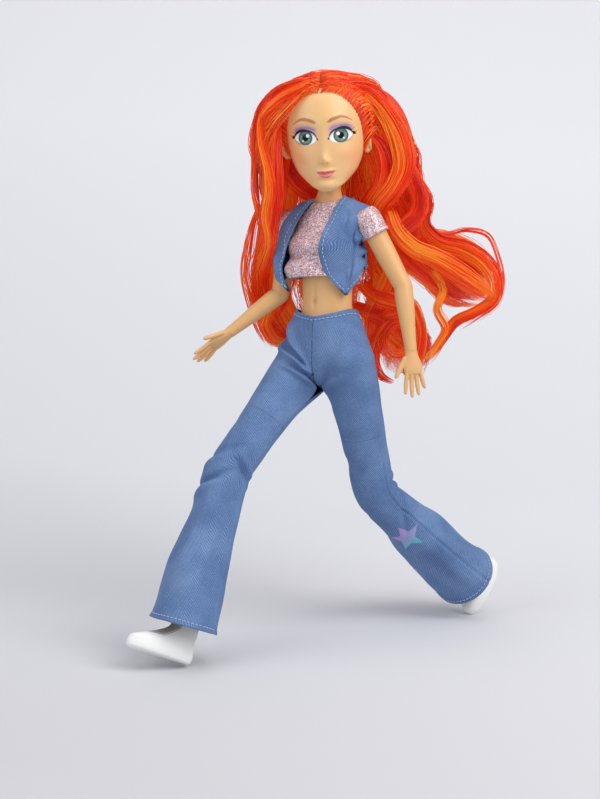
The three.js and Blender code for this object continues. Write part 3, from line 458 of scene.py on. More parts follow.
def tubes(paths, radii, sides):
    """Tubes along paths of one length of points. Gives points, faces, end caps and each corner's place."""
    count, steps = paths.shape[:2]
    along = unit(np.gradient(paths, axis=1))
    ref = np.broadcast_to(np.array(TUBE_REFERENCE), along.shape)
    across = unit(ref - along * (along * ref).sum(-1, keepdims=True))
    deep = np.cross(along, across)
    angles = ring_angles(sides)
    ring = across[:, :, None] * np.cos(angles)[:, None] + deep[:, :, None] * np.sin(angles)[:, None]
    points = (paths[:, :, None] + ring * np.asarray(radii)[..., None, None]).reshape(-1, 3)
    rr, cc = grid_faces(steps, sides, True)
    quads = rr * sides + cc % sides
    offset = (np.arange(count) * steps * sides)[:, None, None]
    faces = [(quads[None] + offset).reshape(-1, 4)]
    ends = [np.arange(sides)[::-1], (steps - 1) * sides + np.arange(sides)]
    caps = np.concatenate([(e[None] + offset[:, 0]) for e in ends])
    return points, faces, caps, rr, cc


# Materials


def linear(level):
    return level / 255 / 12.92 if level <= 10 else ((level / 255 + 0.055) / 1.055) ** 2.4


def srgb(r, g, b):
    """A colour given as it looks, from 0 to 255."""
    return (linear(r), linear(g), linear(b), 1.0)


def give(tree, socket, value):
    """Links a socket to its source or sets it. A colour is given as it looks."""
    if isinstance(value, bpy.types.NodeSocket):
        tree.links.new(value, socket)
    else:
        socket.default_value = srgb(*value) if socket.type == "RGBA" else value


def feed(tree, node, **values):
    for key, value in values.items():
        numbered = key[0] == "i" and key[1:].isdigit()
        give(tree, node.inputs[int(key[1:]) if numbered else key.replace("_", " ")], value)


def put(tree, kind, settings=None, **inputs):
    node = tree.nodes.new(kind)
    for key, value in (settings or {}).items():
        setattr(node, key, value)
    feed(tree, node, **inputs)
    return node


def new_material(name, roughness=0.5, specular=0.5, **values):
    material = bpy.data.materials.new(name)
    material.use_nodes = True
    tree = material.node_tree
    shader = tree.nodes["Principled BSDF"]
    feed(tree, shader, Roughness=roughness, Specular_IOR_Level=specular, **values)
    return material, tree, shader


def mm_place(tree, layer=None):
    """Coordinates in millimetres: a surface's own map, or the object's."""
    if layer:
        return put(tree, "ShaderNodeUVMap", {"uv_map": layer}).outputs["UV"]
    place = put(tree, "ShaderNodeTexCoord").outputs["Object"]
    return put(tree, "ShaderNodeVectorMath", {"operation": "SCALE"}, i0=place, Scale=1 / MM).outputs[0]


def layer_of(tree, name, output="Fac"):
    """A value or colour that the mesh holds for each of its points."""
    return put(tree, "ShaderNodeAttribute", {"attribute_name": name}).outputs[output]


def noise(tree, place, size, detail=2.0, roughness=0.5):
    """Noise whose grains have a size in millimetres."""
    values = dict(Vector=place, Scale=1 / size, Detail=detail, Roughness=roughness)
    return put(tree, "ShaderNodeTexNoise", None, **values).outputs["Fac"]


def maths(tree, operation, *values):
    node = put(tree, "ShaderNodeMath", {"operation": operation})
    for socket, value in zip(node.inputs, values):
        give(tree, socket, value)
    return node.outputs[0]


def total(tree, *parts, plus=None):
    """The sum of values, each times its share."""
    result = plus
    for value, share in parts:
        term = maths(tree, "MULTIPLY", value, share)
        result = term if result is None else maths(tree, "ADD", result, term)
    return result


def ramp(tree, factor, stops):
    """Colours along a factor from 0 to 1, each given as it looks."""
    node = put(tree, "ShaderNodeValToRGB", None, Fac=factor)
    elements = node.color_ramp.elements
    while len(elements) < len(stops):
        elements.new(0.5)
    for element, (position, colour) in zip(elements, stops):
        element.position = position
        element.color = srgb(*colour)
    return node.outputs["Color"]


def mix(tree, factor, a, b):
    node = put(tree, "ShaderNodeMix", {"data_type": "RGBA", "blend_type": "MIX"}, i0=factor, i6=a, i7=b)
    return node.outputs[2]


def bump(tree, height, depth, strength=1.0):
    """Relief of some millimetres."""
    node = put(tree, "ShaderNodeBump", None, Height=height, Distance=depth * MM, Strength=strength)
    return node.outputs["Normal"]


def skin_material(name, colour, shade, painted=False, gloss=0.42):
    material, tree, shader = new_material(name, gloss, 0.45)
    place = mm_place(tree)
    base = mix(tree, total(tree, (noise(tree, place, 9, 2), 0.55)), colour, shade)
    rough = total(tree, (noise(tree, place, 1.6), 0.1), plus=gloss - 0.04)
    if painted:
        base = mix(tree, layer_of(tree, "painted"), base, layer_of(tree, "paint", "Color"))
        rough = total(tree, (layer_of(tree, "shine"), -0.3), plus=gloss)
    relief = bump(tree, noise(tree, place, 0.5, 3), 0.012, 0.5)
    feed(tree, shader, Base_Color=base, Roughness=rough, Normal=relief)
    return material


# Twill on the cloth's own map: its ribs, how they waver, and how much each layer of tone counts.
TWILL_RIBS = dict(Scale=0.62, Distortion=0.4, Detail=1.0)
TWILL_STRETCH = (1.1, 1.0, 1)
TWILL_WOBBLE = dict(Scale=0.9, Detail=2.0)
TWILL_WAVER = 0.12
TWILL_SHARES = dict(thread=0.36, worn=0.4, yarn=0.28, slub=0.1)


def denim_material(name, light, middle, dark):
    sheen = dict(Sheen_Weight=0.12, Sheen_Roughness=0.5, Sheen_Tint=(150, 180, 225))
    material, tree, shader = new_material(name, 0.85, 0.2, **sheen)
    place = mm_place(tree, "Surface")
    wobble = put(tree, "ShaderNodeTexNoise", None, Vector=place, **TWILL_WOBBLE).outputs["Color"]
    along = dict(i0=wobble, i1=(TWILL_WAVER,) * 3, i2=place)
    bent = put(tree, "ShaderNodeVectorMath", {"operation": "MULTIPLY_ADD"}, **along).outputs[0]
    stretched = put(tree, "ShaderNodeMapping", None, Vector=bent, Scale=TWILL_STRETCH).outputs[0]
    slanted = {"bands_direction": "DIAGONAL"}
    ribs = put(tree, "ShaderNodeTexWave", slanted, Vector=stretched, **TWILL_RIBS).outputs["Fac"]
    yarn = noise(tree, place, 0.5, 2, 0.75)
    layers = {
        "thread": maths(tree, "MULTIPLY", ribs, maths(tree, "ADD", yarn, 0.1)),
        "worn": noise(tree, mm_place(tree), 16, 3),
        "yarn": yarn,
        "slub": noise(tree, place, 1.5, 2),
    }
    tone = total(tree, *[(layer, TWILL_SHARES[key]) for key, layer in layers.items()])
    colour = ramp(tree, tone, [(0.2, dark), (0.5, middle), (0.85, light)])
    feed(tree, shader, Base_Color=colour, Normal=bump(tree, maths(tree, "ADD", ribs, yarn), 0.05, 0.7))
    return material


KNIT_STOPS = [(0.0, (120, 92, 98)), (0.25, (196, 154, 162)), (0.6, (222, 182, 190)), (0.85, (250, 238, 240))]


def knit_material(name):
    """A knit with metal thread: small cells, about half of them shining."""
    material, tree, shader = new_material(name, 0.5, 0.5)
    place = mm_place(tree, "Surface")
    cells = put(tree, "ShaderNodeTexVoronoi", None, Vector=place, Scale=2.5)
    spark = put(tree, "ShaderNodeSeparateColor", None, Color=cells.outputs["Color"]).outputs
    shining = maths(tree, "GREATER_THAN", spark[1], 0.55)
    facets = maths(tree, "ADD", spark[2], noise(tree, place, 0.5, 2))
    feed(tree, shader, Base_Color=ramp(tree, spark[0], KNIT_STOPS), Normal=bump(tree, facets, 0.16, 0.9))
    metal, rough = total(tree, (shining, 0.45)), total(tree, (shining, -0.26), plus=0.62)
    feed(tree, shader, Metallic=metal, Roughness=rough)
    return material


def plastic_material(name, colour, other, roughness=0.4):
    material, tree, shader = new_material(name, roughness, 0.5)
    place = mm_place(tree)
    relief = bump(tree, noise(tree, place, 0.6, 3), 0.02, 0.5)
    rough = total(tree, (noise(tree, place, 2.5), 0.12), plus=roughness - 0.06)
    base = mix(tree, noise(tree, place, 6), colour, other)
    feed(tree, shader, Base_Color=base, Roughness=rough, Normal=relief)
    return material


def hair_material(name, stops, roughness, glow):
    """Hair whose glow stands for light that passes through the clear fibres."""
    material, tree, shader = new_material(name, roughness, 0.55)
    colour = ramp(tree, layer_of(tree, "tone"), stops)
    feed(tree, shader, Base_Color=colour, Emission_Color=colour, Emission_Strength=glow)
    return material


def thread_material(name, colour):
    material, tree, shader = new_material(name, 0.8, 0.3)
    place = mm_place(tree)
    base = mix(tree, noise(tree, place, 0.4), colour, [c * 0.8 for c in colour])
    feed(tree, shader, Base_Color=base, Normal=bump(tree, noise(tree, place, 0.15), 0.04, 0.8))
    return material


PRINT_STOPS = [(0.0, (178, 142, 206)), (0.45, (164, 150, 208)), (0.8, (96, 186, 202)), (1.0, (84, 196, 200))]


def print_material():
    """Lilac that runs to turquoise, with some of the denim showing through."""
    material, tree, shader = new_material("printed star", 0.55, 0.4)
    place = mm_place(tree)
    ink = ramp(tree, layer_of(tree, "tone"), PRINT_STOPS)
    base = mix(tree, total(tree, (noise(tree, place, 0.5, 2), 0.35)), ink, (104, 134, 180))
    feed(tree, shader, Base_Color=base, Normal=bump(tree, noise(tree, place, 0.45, 2), 0.05, 0.7))
    return material


def steel_material():
    material, tree, shader = new_material("steel pin", 0.3, 0.5, Metallic=1.0)
    base = mix(tree, noise(tree, mm_place(tree), 0.8), (184, 188, 192), (166, 170, 176))
    feed(tree, shader, Base_Color=base)
    return material


SKIN = skin_material("vinyl skin", (228, 180, 124), (217, 164, 108))
FACE = skin_material("painted face", (239, 194, 137), (231, 183, 124), painted=True, gloss=0.38)
FACE_PLAIN = skin_material("ear vinyl", (239, 194, 137), (231, 183, 124), gloss=0.4)
TWILL = denim_material("denim twill", (150, 177, 213), (93, 121, 167), (54, 78, 120))
# the cloth's inner face, coloured far darker than its outer face as painted shade inside the garments
SHADED_TWILL_INSIDE = denim_material("denim inside with painted shade", (70, 84, 120), (44, 54, 84), (28, 34, 56))
GLITTER = knit_material("glitter knit")
WHITE = plastic_material("white moulding", (244, 244, 242), (236, 236, 236), 0.45)
# the instep's ribbing, coloured grey as painted shade on the white shoe
SHADED_RIBBING = plastic_material("ribbing greyed as painted shade", (196, 188, 184), (150, 142, 140), 0.6)
PEG = plastic_material("natural plastic", (232, 228, 220), (222, 217, 207), 0.45)
PRINT = print_material()
THREAD = thread_material("pale thread", (196, 214, 240))
HOOKS = thread_material("hook and loop", (240, 240, 238))
FIBRE_STOPS = [(0.0, (206, 22, 6)), (0.3, (246, 54, 12)), (0.65, (255, 98, 20)), (1.0, (255, 164, 46))]
HAIR = hair_material("glossy fibre", FIBRE_STOPS, 0.26, 0.12)
# the hair below the fibres, darker than them as painted shade of the hair's depth
SHADED_HAIR_UNDER = hair_material("fibre below with painted shade", [(0.0, (176, 18, 4)), (1.0, (240, 60, 14))], 0.5, 0.1)
STEEL = steel_material()


def finish_piece(obj, material, body=None, replaces=(), inside=None):
    obj.data.materials.clear()
    obj.data.materials.append(material)
    if inside:
        obj.data.materials.append(inside)
        second = np.zeros(len(obj.data.polygons), np.int32)
        obj.data.attributes["lining"].data.foreach_get("value", second)
        obj.data.polygons.foreach_set("material_index", second)
    if body:
        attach(obj, body)
    if replaces:
        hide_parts(*replaces)
    return obj


# The cut of each cloth: width, length and area in metres and square metres.
CUT = {
    "trouser_top": ((0.076, 0.066), 0.0038),
    "trouser_leg": ((0.107, 0.106), 0.008),
    "sleeve": ((0.042, 0.0135), 0.0005),
    "vest_front_left": ((0.031, 0.056), 0.0009),
    "vest_front_right": ((0.028, 0.056), 0.0006),
    "vest_back": ((0.047, 0.037), 0.0012),
    "knit_body": ((0.092, 0.04), 0.0032),
}


def declare_cloth(obj, cut):
    flat, area = CUT[cut]


# Torso

TORSO_SHARES = [
    [-0.137, 0.17, 0.36, 0.4],
    [-0.1, 0.42, 0.68, 0.74],
    [-0.04, 0.7, 0.84, 0.92],
    [0.035, 0.92, 0.89, 0.98],
    [0.105, 0.98, 0.87, 0.96],
    [0.19, 0.86, 0.81, 0.84],
    [0.275, 0.69, 0.74, 0.71],
    [0.38, 0.66, 0.74, 0.68],
    [0.475, 0.68, 0.78, 0.68],
    [0.56, 0.71, 0.92, 0.72],
    [0.63, 0.74, 1.1, 0.75],
    [0.7, 0.735, 0.95, 0.74],
    [0.775, 0.77, 0.7, 0.69],
    [0.835, 0.73, 0.55, 0.6],
    [0.875, 0.56, 0.49, 0.52],
    [0.9, 0.38, 0.46, 0.48],
]


def sized(shares):
    """Heights, half widths and depths in millimetres from shares of the torso's sizes."""
    sizes = (TORSO["height"], TORSO["half_width"], TORSO["half_depth"], TORSO["half_depth"])
    return [[share * size for share, size in zip(row, sizes)] for row in shares]


TORSO_TABLE = sized(TORSO_SHARES) + [[78.5, 5.5, 5.5, 5.5], [84, 5.5, 5.5, 5.5]]
BUST_TABLE = TORSO_TABLE[6:-1]


# Dents and bulges: how far they go, place across and up, half width and half height.
BELLY_DENTS = [(1.5, -1.8, 27.5, 0.6, 1.9), (0.35, -1.8, 33, 0.9, 7)]
SPINE_DENTS = [(0.5, 0, 40, 1.6, 18)]
NECK_CAP_ANGLES = np.linspace(0.15, 1.45, 8)


def relief(x, z, shapes):
    return sum(deep * bell(x - across, wide) * bell(z - up, high) for deep, across, up, wide, high in shapes)


def cut_at_hips(grid, clear=0.0):
    for side in SIDES:
        grid = grid - np.maximum(past_hip(side, grid) + clear, 0)[..., None] * hip_axis(side)
    return grid


def torso():
    angles = ring_angles(96)
    radius = TORSO["neck_radius"] * np.cos(NECK_CAP_ANGLES)
    height = TORSO["height"] + TORSO["neck_radius"] * np.sin(NECK_CAP_ANGLES)
    cap = rings_at(np.outer(radius, np.cos(angles)), np.outer(radius, np.sin(angles)), height)
    grid = np.concatenate([level_rings(TORSO_TABLE, 190, angles), cap])
    x, z = grid[..., 0], grid[..., 2]
    front = grid[..., 1] < 0
    grid[..., 1] += relief(x, z, BELLY_DENTS) * front
    grid[..., 1] -= relief(x, z, SPINE_DENTS) * ~front
    grid = cut_at_hips(grid)
    ledge = SHOULDER["face"] - GAP
    grid[..., 0] = np.clip(grid[..., 0], -ledge, ledge)
    obj = skin_of("smooth_torso", grid)
    return finish_piece(obj, SKIN, "torso", ["torso_front_shell", "torso_back_shell"])


# Arms and hands

UPPER_ARM_SHARES = [[-0.1, 0.86], [0, 1.06], [0.12, 1.08], [0.3, 1.02], [0.55, 0.98], [0.8, 0.91], [1, 0.87]]
FOREARM_SHARES = [[0.2, 0.87], [0.45, 0.78], [0.75, 0.63], [1, 0.55]]
FINGER_SHARES = [
    [0.37, 0.46, 0.56, 0.91],
    [0.13, 0.48, 0.2, 1.0],
    [-0.12, 0.47, -0.18, 0.96],
    [-0.36, 0.44, -0.56, 0.83],
]
THUMB_SHARES = [0.34, 0.12, 1.04, 0.55]
# How thick a finger and the thumb are, in fingers, and how far they curl inward
FINGER_LOOK, THUMB_LOOK = (1.0, 0.9), (1.15, 0.3)
# A finger from root to tip: share of its length and of its thickness
DIGIT = [(0, 1.05), (0.3, 1.0), (0.52, 1.04), (0.75, 0.92), (0.93, 0.74), (1.0, 0.34)]
# Millimetres down the arm between which its middle is a smooth line, the elbow among them
ARM_BENDS = [-6, 0, 20, 31, 35, 39, 50, 66]
PALM_SHARES = [
    [-0.04, 0.31, 0.27],
    [0.1, 0.36, 0.26],
    [0.28, 0.5, 0.24],
    [0.42, 0.52, 0.2],
    [0.5, 0.46, 0.14],
]


def fore_way(side):
    """Which way the forearm goes, before the arm is turned out from the body."""
    bend, outward = math.radians(ELBOW[side]), math.radians(ELBOW_OUT[side])
    sideways = SIDES[side] * math.sin(bend) * math.sin(outward)
    return np.array((sideways, -math.sin(bend) * math.cos(outward), -math.cos(bend)))


def turned_out(side, points):
    return moved(points, turn((0, 1, 0), -SIDES[side] * ARM_OUT[side]))


def arm_point(side, along):
    along = np.asarray(along, float)
    upper = np.minimum(along, ARM["upper"])
    line = (along - upper)[..., None] * fore_way(side) - upper[..., None] * np.array((0, 0, 1))
    return turned_out(side, line)


def hand_ways(side):
    """Across the palm towards the thumb, and out of the palm."""
    fore = fore_way(side)
    ahead = np.array((0, -1.0, 0))
    ahead = unit(ahead - fore * (ahead @ fore))
    across = turn(fore, HAND_TURN[side])[:3, :3] @ ahead
    return turned_out(side, across), turned_out(side, SIDES[side] * np.cross(fore, across))


def joined_smooth(name, parts, voxel, rounds):
    """Several closed grids melted into one smooth skin."""
    points, quads, fans, start = [], [], [], 0
    for grid in parts:
        at, fours, threes, _ = closed_rings(grid)
        points.append(at)
        quads.append(fours + start)
        fans.append(threes + start)
        start += len(at)
    obj = mesh_piece(name, np.concatenate(points), [np.concatenate(quads), np.concatenate(fans)])
    melt = obj.modifiers.new("melt", "REMESH")
    melt.mode = "VOXEL"
    melt.voxel_size = voxel * MM
    melt.use_smooth_shade = True
    soften = obj.modifiers.new("soften", "SMOOTH")
    soften.factor = 0.5
    soften.iterations = rounds
    applied = bpy.data.meshes.new_from_object(obj.evaluated_get(bpy.context.evaluated_depsgraph_get()))
    obj.modifiers.clear()
    obj.data = applied
    applied.polygons.foreach_set("use_smooth", np.ones(len(applied.polygons), bool))
    return obj


def digit(root, tip, size, curl):
    """Stations of a finger that curls out of its line."""
    rows = []
    for share, thick in DIGIT:
        at = root + (tip - root) * share + curl * math.sin(share * math.pi * 0.6)
        rows.append([*at, size * thick, size * thick * 0.95])
    return rows


def arm(side):
    forward, inward = hand_ways(side)
    wrist, width = ARM["upper"] + ARM["fore"], ARM["hand_width"]
    rows = [(s * ARM["upper"], r) for s, r in UPPER_ARM_SHARES]
    rows += [(ARM["upper"] + s * ARM["fore"], r) for s, r in FOREARM_SHARES]
    rows = np.array(rows)
    dense = np.linspace(rows[0, 0], rows[-1, 0], 60)
    radius = curve(rows[:, 0], rows[:, 1], dense) * ARM["radius"]
    middle = curve(ARM_BENDS, arm_point(side, ARM_BENDS), dense)
    limb = sweep(np.column_stack([middle, radius, radius]), (1, 0, 0), 90, 40)

    def place(across, along):
        return arm_point(side, wrist + along * ARM["hand"]) + forward * across * width

    palm = [[*place(0, a), w * width, t * width] for a, w, t in PALM_SHARES]
    parts = [limb, sweep(palm, forward, 24, 28)]
    digits = [(row, FINGER_LOOK) for row in FINGER_SHARES] + [(THUMB_SHARES, THUMB_LOOK)]
    for row, (thick, curl) in digits:
        stations = digit(place(*row[:2]), place(*row[2:]), ARM["finger"] * thick, inward * curl)
        parts.append(sweep(stations, forward, 26, 16))
    obj = joined_smooth(f"smooth_arm_{side}", [moved(p, arm_frame(side)) for p in parts], 0.24, 5)
    return finish_piece(obj, SKIN, f"arm_{side}", [f"arm_{side}"])


# Lower legs and shoes

SHIN_SHARES = [
    [0.0, 0.7, 0],
    [0.085, 0.93, 0],
    [0.2, 1, 0.12],
    [0.35, 0.94, 0.18],
    [0.56, 0.74, 0.12],
    [0.78, 0.58, 0.04],
    [0.9, 0.55, 0],
]
FOOT_SHARES = [
    [0.06, -0.05, 1.0, 1.05],
    [0.22, 0.2, 1.05, 0.95],
    [0.42, 0.45, 1.1, 0.7],
    [0.62, 0.6, 1.05, 0.5],
    [0.78, 0.66, 0.85, 0.4],
    [0.86, 0.67, 0.5, 0.25],
]


def leg_stations():
    rows = []
    for down, thick, back in SHIN_SHARES:
        size = thick * SHIN["radius"]
        rows.append([0, back * SHIN["radius"], -down * SHIN["length"], size, size])
    for ahead, down, width, depth in FOOT_SHARES:
        at = (0, -ahead * SHOE["toe"], -SHIN["length"] - down * SHOE["ankle_height"])
        rows.append([*at, width * SHIN["ankle"], depth * SHIN["ankle"]])
    return rows


SHOE_SHARES = [
    [0, -0.24, 0.47, 0.9],
    [0.03, -0.24, 0.495, 0.965],
    [0.08, -0.24, 0.505, 1],
    [0.22, -0.235, 0.51, 1],
    [0.34, -0.225, 0.485, 0.98],
    [0.46, -0.16, 0.405, 0.94],
    [0.62, -0.06, 0.3, 0.9],
    [0.8, 0.02, 0.225, 0.86],
    [1, 0.045, 0.195, 0.84],
]


# How round a shoe's outline is: 1 is an ellipse, less is squarer.
SHOE_ROUNDNESS = 0.86
# The instep's ribs: how far they stand out, least and more, and how many go round
RIBS = dict(least=0.12, more=0.16, round=22)


def shoe_rings(up, angles, grow=0.0):
    """Level rings of the shoe at shares of its height."""
    shares = np.array(SHOE_SHARES)
    middle, half, width = curve(shares[:, 0], shares[:, 1:], np.minimum(up, 1)).T
    c, s = squared(angles, SHOE_ROUNDNESS)
    x = np.outer(width * SHOE["half_width"], c) + grow * c
    y = (middle * SHOE["length"])[:, None] + np.outer(half * SHOE["length"], s) + grow * s
    return rings_at(x, y, up * SHOE["height"] - SHIN["length"] - SHOE["ankle_height"])


def shoe(side):
    angles = ring_angles(72)
    up = np.concatenate([np.linspace(0, 0.1, 8), np.linspace(0.13, 1, 44)])
    grid = shoe_rings(up, angles)
    grid[..., 0] *= 1 + 0.06 * (1 - ease(-squared(angles, SHOE_ROUNDNESS)[1], 0.2, 0.9))
    obj = skin_of(f"moulded_shoe_{side}", grid, knee_frame(side))
    return finish_piece(obj, WHITE, f"shin_{side}", [f"shoe_{side}"])


def ankle_rib(side):
    """The ribbed instep at the front of the shoe's shaft."""
    angles = np.radians(np.linspace(-168, -12, 120))
    grow = RIBS["least"] + RIBS["more"] * np.abs(np.sin(angles * RIBS["round"]))
    grid = shoe_rings(np.linspace(0.5, 1.02, 60), angles, grow)
    obj = cloth_of(f"ribbed_instep_{side}", grid, 0.3, False, knee_frame(side))
    # the ribs are grey as painted shade
    return finish_piece(obj, SHADED_RIBBING, f"shin_{side}")


def lower_leg(side):
    obj = skin_of(f"smooth_shin_{side}", sweep(leg_stations(), (1, 0, 0), 90, 40), knee_frame(side))
    return finish_piece(obj, SKIN, f"shin_{side}", [f"lower_leg_{side}"])


# Trousers

SEAT_SHARES = [
    [-0.04, 1.0, 0.96, 1.14],
    [0.035, 1.12, 0.99, 1.2],
    [0.105, 1.12, 0.97, 1.16],
    [0.19, 0.97, 0.9, 1.0],
    [0.275, 0.77, 0.81, 0.8],
]
TROUSER_THIGH_SHARES = [[0.14, 1.04], [0.3, 0.99], [0.48, 0.93], [0.66, 0.88], [0.84, 0.86]]
TROUSER_SHIN_SHARES = [[0.14, 0.02], [0.3, 0.14], [0.48, 0.34], [0.66, 0.6], [0.82, 0.84], [1, 1]]
SEAM_TURN = {"left": 0, "right": -50}
COLUMNS = 161
WAIST_HEIGHTS = (TROUSERS["waist"], 19, 14, 9, 4.5)
# How far the waist dips at the front and rises at the side
WAIST_DIP, WAIST_RISE = 2.6, 1.4
# The halves' edges at the crotch: millimetres down from the waist, and places in front and behind there
CROTCH_AT = [14, 22, 30, 37, 46]
CROTCH_EDGES = [
    [[0, -11.2, 9.0], [0, -10.6, 0.5], [0, -7.5, -8.0], [0, 0, -13.0], [0, 0, -14.0]],
    [[0, 14.4, 9.0], [0, 14.0, 0.5], [0, 9.0, -8.5], [0, 0, -13.0], [0, 0, -14.0]],
]
# How near the halves come to the doll's middle
SEAM_GAP = 0.02
# Heights between which cloth is kept off the pelvis
PELVIS_SPAN = (-11.5, 40)


def trouser_stack(side, phi):
    """Rings from the waist to the hem, and how far down the cloth each is."""
    sign, waist = SIDES[side], TROUSERS["waist"]
    seat = np.array(sized(SEAT_SHARES))
    rings, rows = [], []

    def pelvis(z):
        w, f, b = curve(seat[:, 0], seat[:, 1:], z) + DENIM
        theta = -math.pi / 2 + phi / 2
        y = np.where(np.sin(theta) < 0, f, b) * np.sin(theta)
        rings.append(np.stack([sign * w * np.cos(theta), y, np.full(COLUMNS, z)], axis=-1))
        rows.append(waist - z)

    def leg(matrix, along, width, depth, row):
        around = phi + math.radians(SEAM_TURN[side])
        x, y = -sign * width * np.cos(around), -depth * np.sin(around)
        rings.append(moved(np.stack([x, y, np.full(COLUMNS, -along)], axis=-1), matrix))
        rows.append(row)

    for z in WAIST_HEIGHTS:
        pelvis(z)
    for share, thick in TROUSER_THIGH_SHARES[1:]:
        size = thick * THIGH["radius"] + TROUSERS["clearance"] + DENIM
        along = share * THIGH["length"]
        leg(thigh_frame(side), along, size, size, waist + along)
    knee_row = waist + THIGH["length"]
    leg(knee_frame(side, 0.5), 0, size, size, knee_row)
    for share, opened in TROUSER_SHIN_SHARES:
        width = size + (TROUSERS["hem_width"] + DENIM - size) * opened
        depth = size + (TROUSERS["hem_depth"] + DENIM - size) * opened
        along = share * TROUSERS["hem"]
        leg(knee_frame(side), along, width, depth, knee_row + along)
    return np.array(rings), np.array(rows)


def trouser_rings(side):
    """One half of the trousers, each row from the inner seam round the front and the outside to the back."""
    sign = SIDES[side]
    phi = np.linspace(0, 2 * math.pi, COLUMNS)
    rings, rows = trouser_stack(side, phi)
    at = np.linspace(0, rows[-1], 260)
    grid = curve(rows, rings, at)
    dip = WAIST_DIP * bell(phi, 1.2) - WAIST_RISE * bell(phi - 2.6, 1.1)
    grid[..., 2] -= dip[None, :] * (1 - ease(at, 0, 16))[:, None]
    # down to the crotch the front and back edges come together
    held_rows = (ease(at, 12, 18) * (1 - ease(at, 37, 48)))[:, None, None]
    for edge, column, away in zip(CROTCH_EDGES, (0, -1), (phi, 2 * math.pi - phi)):
        miss = curve(CROTCH_AT, edge, at) - grid[:, column]
        grid = grid + held_rows * bell(away, 0.55)[None, :, None] * miss[:, None]
    # and the halves meet at the middle
    near_seam = bell(np.minimum(phi, 2 * math.pi - phi), 0.75)
    pull = (1 - ease(at, 33, 44))[:, None] * near_seam[None, :] ** 0.8
    target = sign * SEAM_GAP
    grid[..., 0] = grid[..., 0] * (1 - pull) + target * pull
    inside = sign * grid[..., 0] < sign * target
    grid[..., 0] = np.where(inside & (at[:, None] < 36), target, grid[..., 0])
    return grid, at, phi


THIGH_TABLE = [[0, 1.0], [0.14, 0.99], [0.3, 0.93], [0.48, 0.84], [0.66, 0.76], [0.88, 0.68], [1, 0.62]]


def kept_outside(grid, side, clear):
    """Cloth pushed out of the body below it."""
    grid = grid.copy()
    torso_table = np.array(TORSO_TABLE)
    thigh_table, shin_table = np.array(THIGH_TABLE), np.array(SHIN_SHARES)
    frames = thigh_frame(side), knee_frame(side)
    for _ in range(2):
        x, y, z = np.moveaxis(grid, -1, 0)
        sizes = curve(torso_table[:, 0], torso_table[:, 1:], np.clip(z, *PELVIS_SPAN))
        w, f, b = np.moveaxis(sizes, -1, 0)
        depth = np.where(y < 0, f, b) + clear
        share = np.sqrt((x / (w + clear)) ** 2 + (y / depth) ** 2)
        on_pelvis = (past_hip(side, grid) < clear) & (z > PELVIS_SPAN[0])
        grow = np.where(on_pelvis & (share < 1), 1 / np.maximum(share, 0.2), 1.0)
        grid[..., 0] *= grow
        grid[..., 1] *= grow
        local = moved(grid, np.linalg.inv(frames[0]))
        size = np.linalg.norm(local, axis=-1)
        ball = HIP["radius"] + clear
        near = (size < ball) & (past_hip(side, grid) > -2)
        local = np.where(near[..., None], local * (ball / np.maximum(size, 1))[..., None], local)
        along = -local[..., 2] / THIGH["length"]
        radius = curve(thigh_table[:, 0], thigh_table[:, 1], np.clip(along, 0, 1)) * THIGH["radius"] + clear
        across = np.linalg.norm(local[..., :2], axis=-1)
        near = (along > 0) & (along < 1) & (across < radius)
        local[..., :2] *= np.where(near, radius / np.maximum(across, 1), 1.0)[..., None]
        grid = moved(local, frames[0])
        local = moved(grid, np.linalg.inv(frames[1]))
        along = -local[..., 2] / SHIN["length"]
        near_rows = np.clip(along, 0, 0.9)
        radius = curve(shin_table[:, 0], shin_table[:, 1], near_rows) * SHIN["radius"] + clear
        back = curve(shin_table[:, 0], shin_table[:, 2], near_rows) * SHIN["radius"]
        across = np.hypot(local[..., 0], local[..., 1] - back)
        near = (along > -0.05) & (along < 1) & (across < radius)
        grow = np.where(near, radius / np.maximum(across, 1), 1.0)
        local[..., 0] *= grow
        local[..., 1] = back + (local[..., 1] - back) * grow
        grid = moved(local, frames[1])
    return grid


FOLD_HEIGHT = 2.7
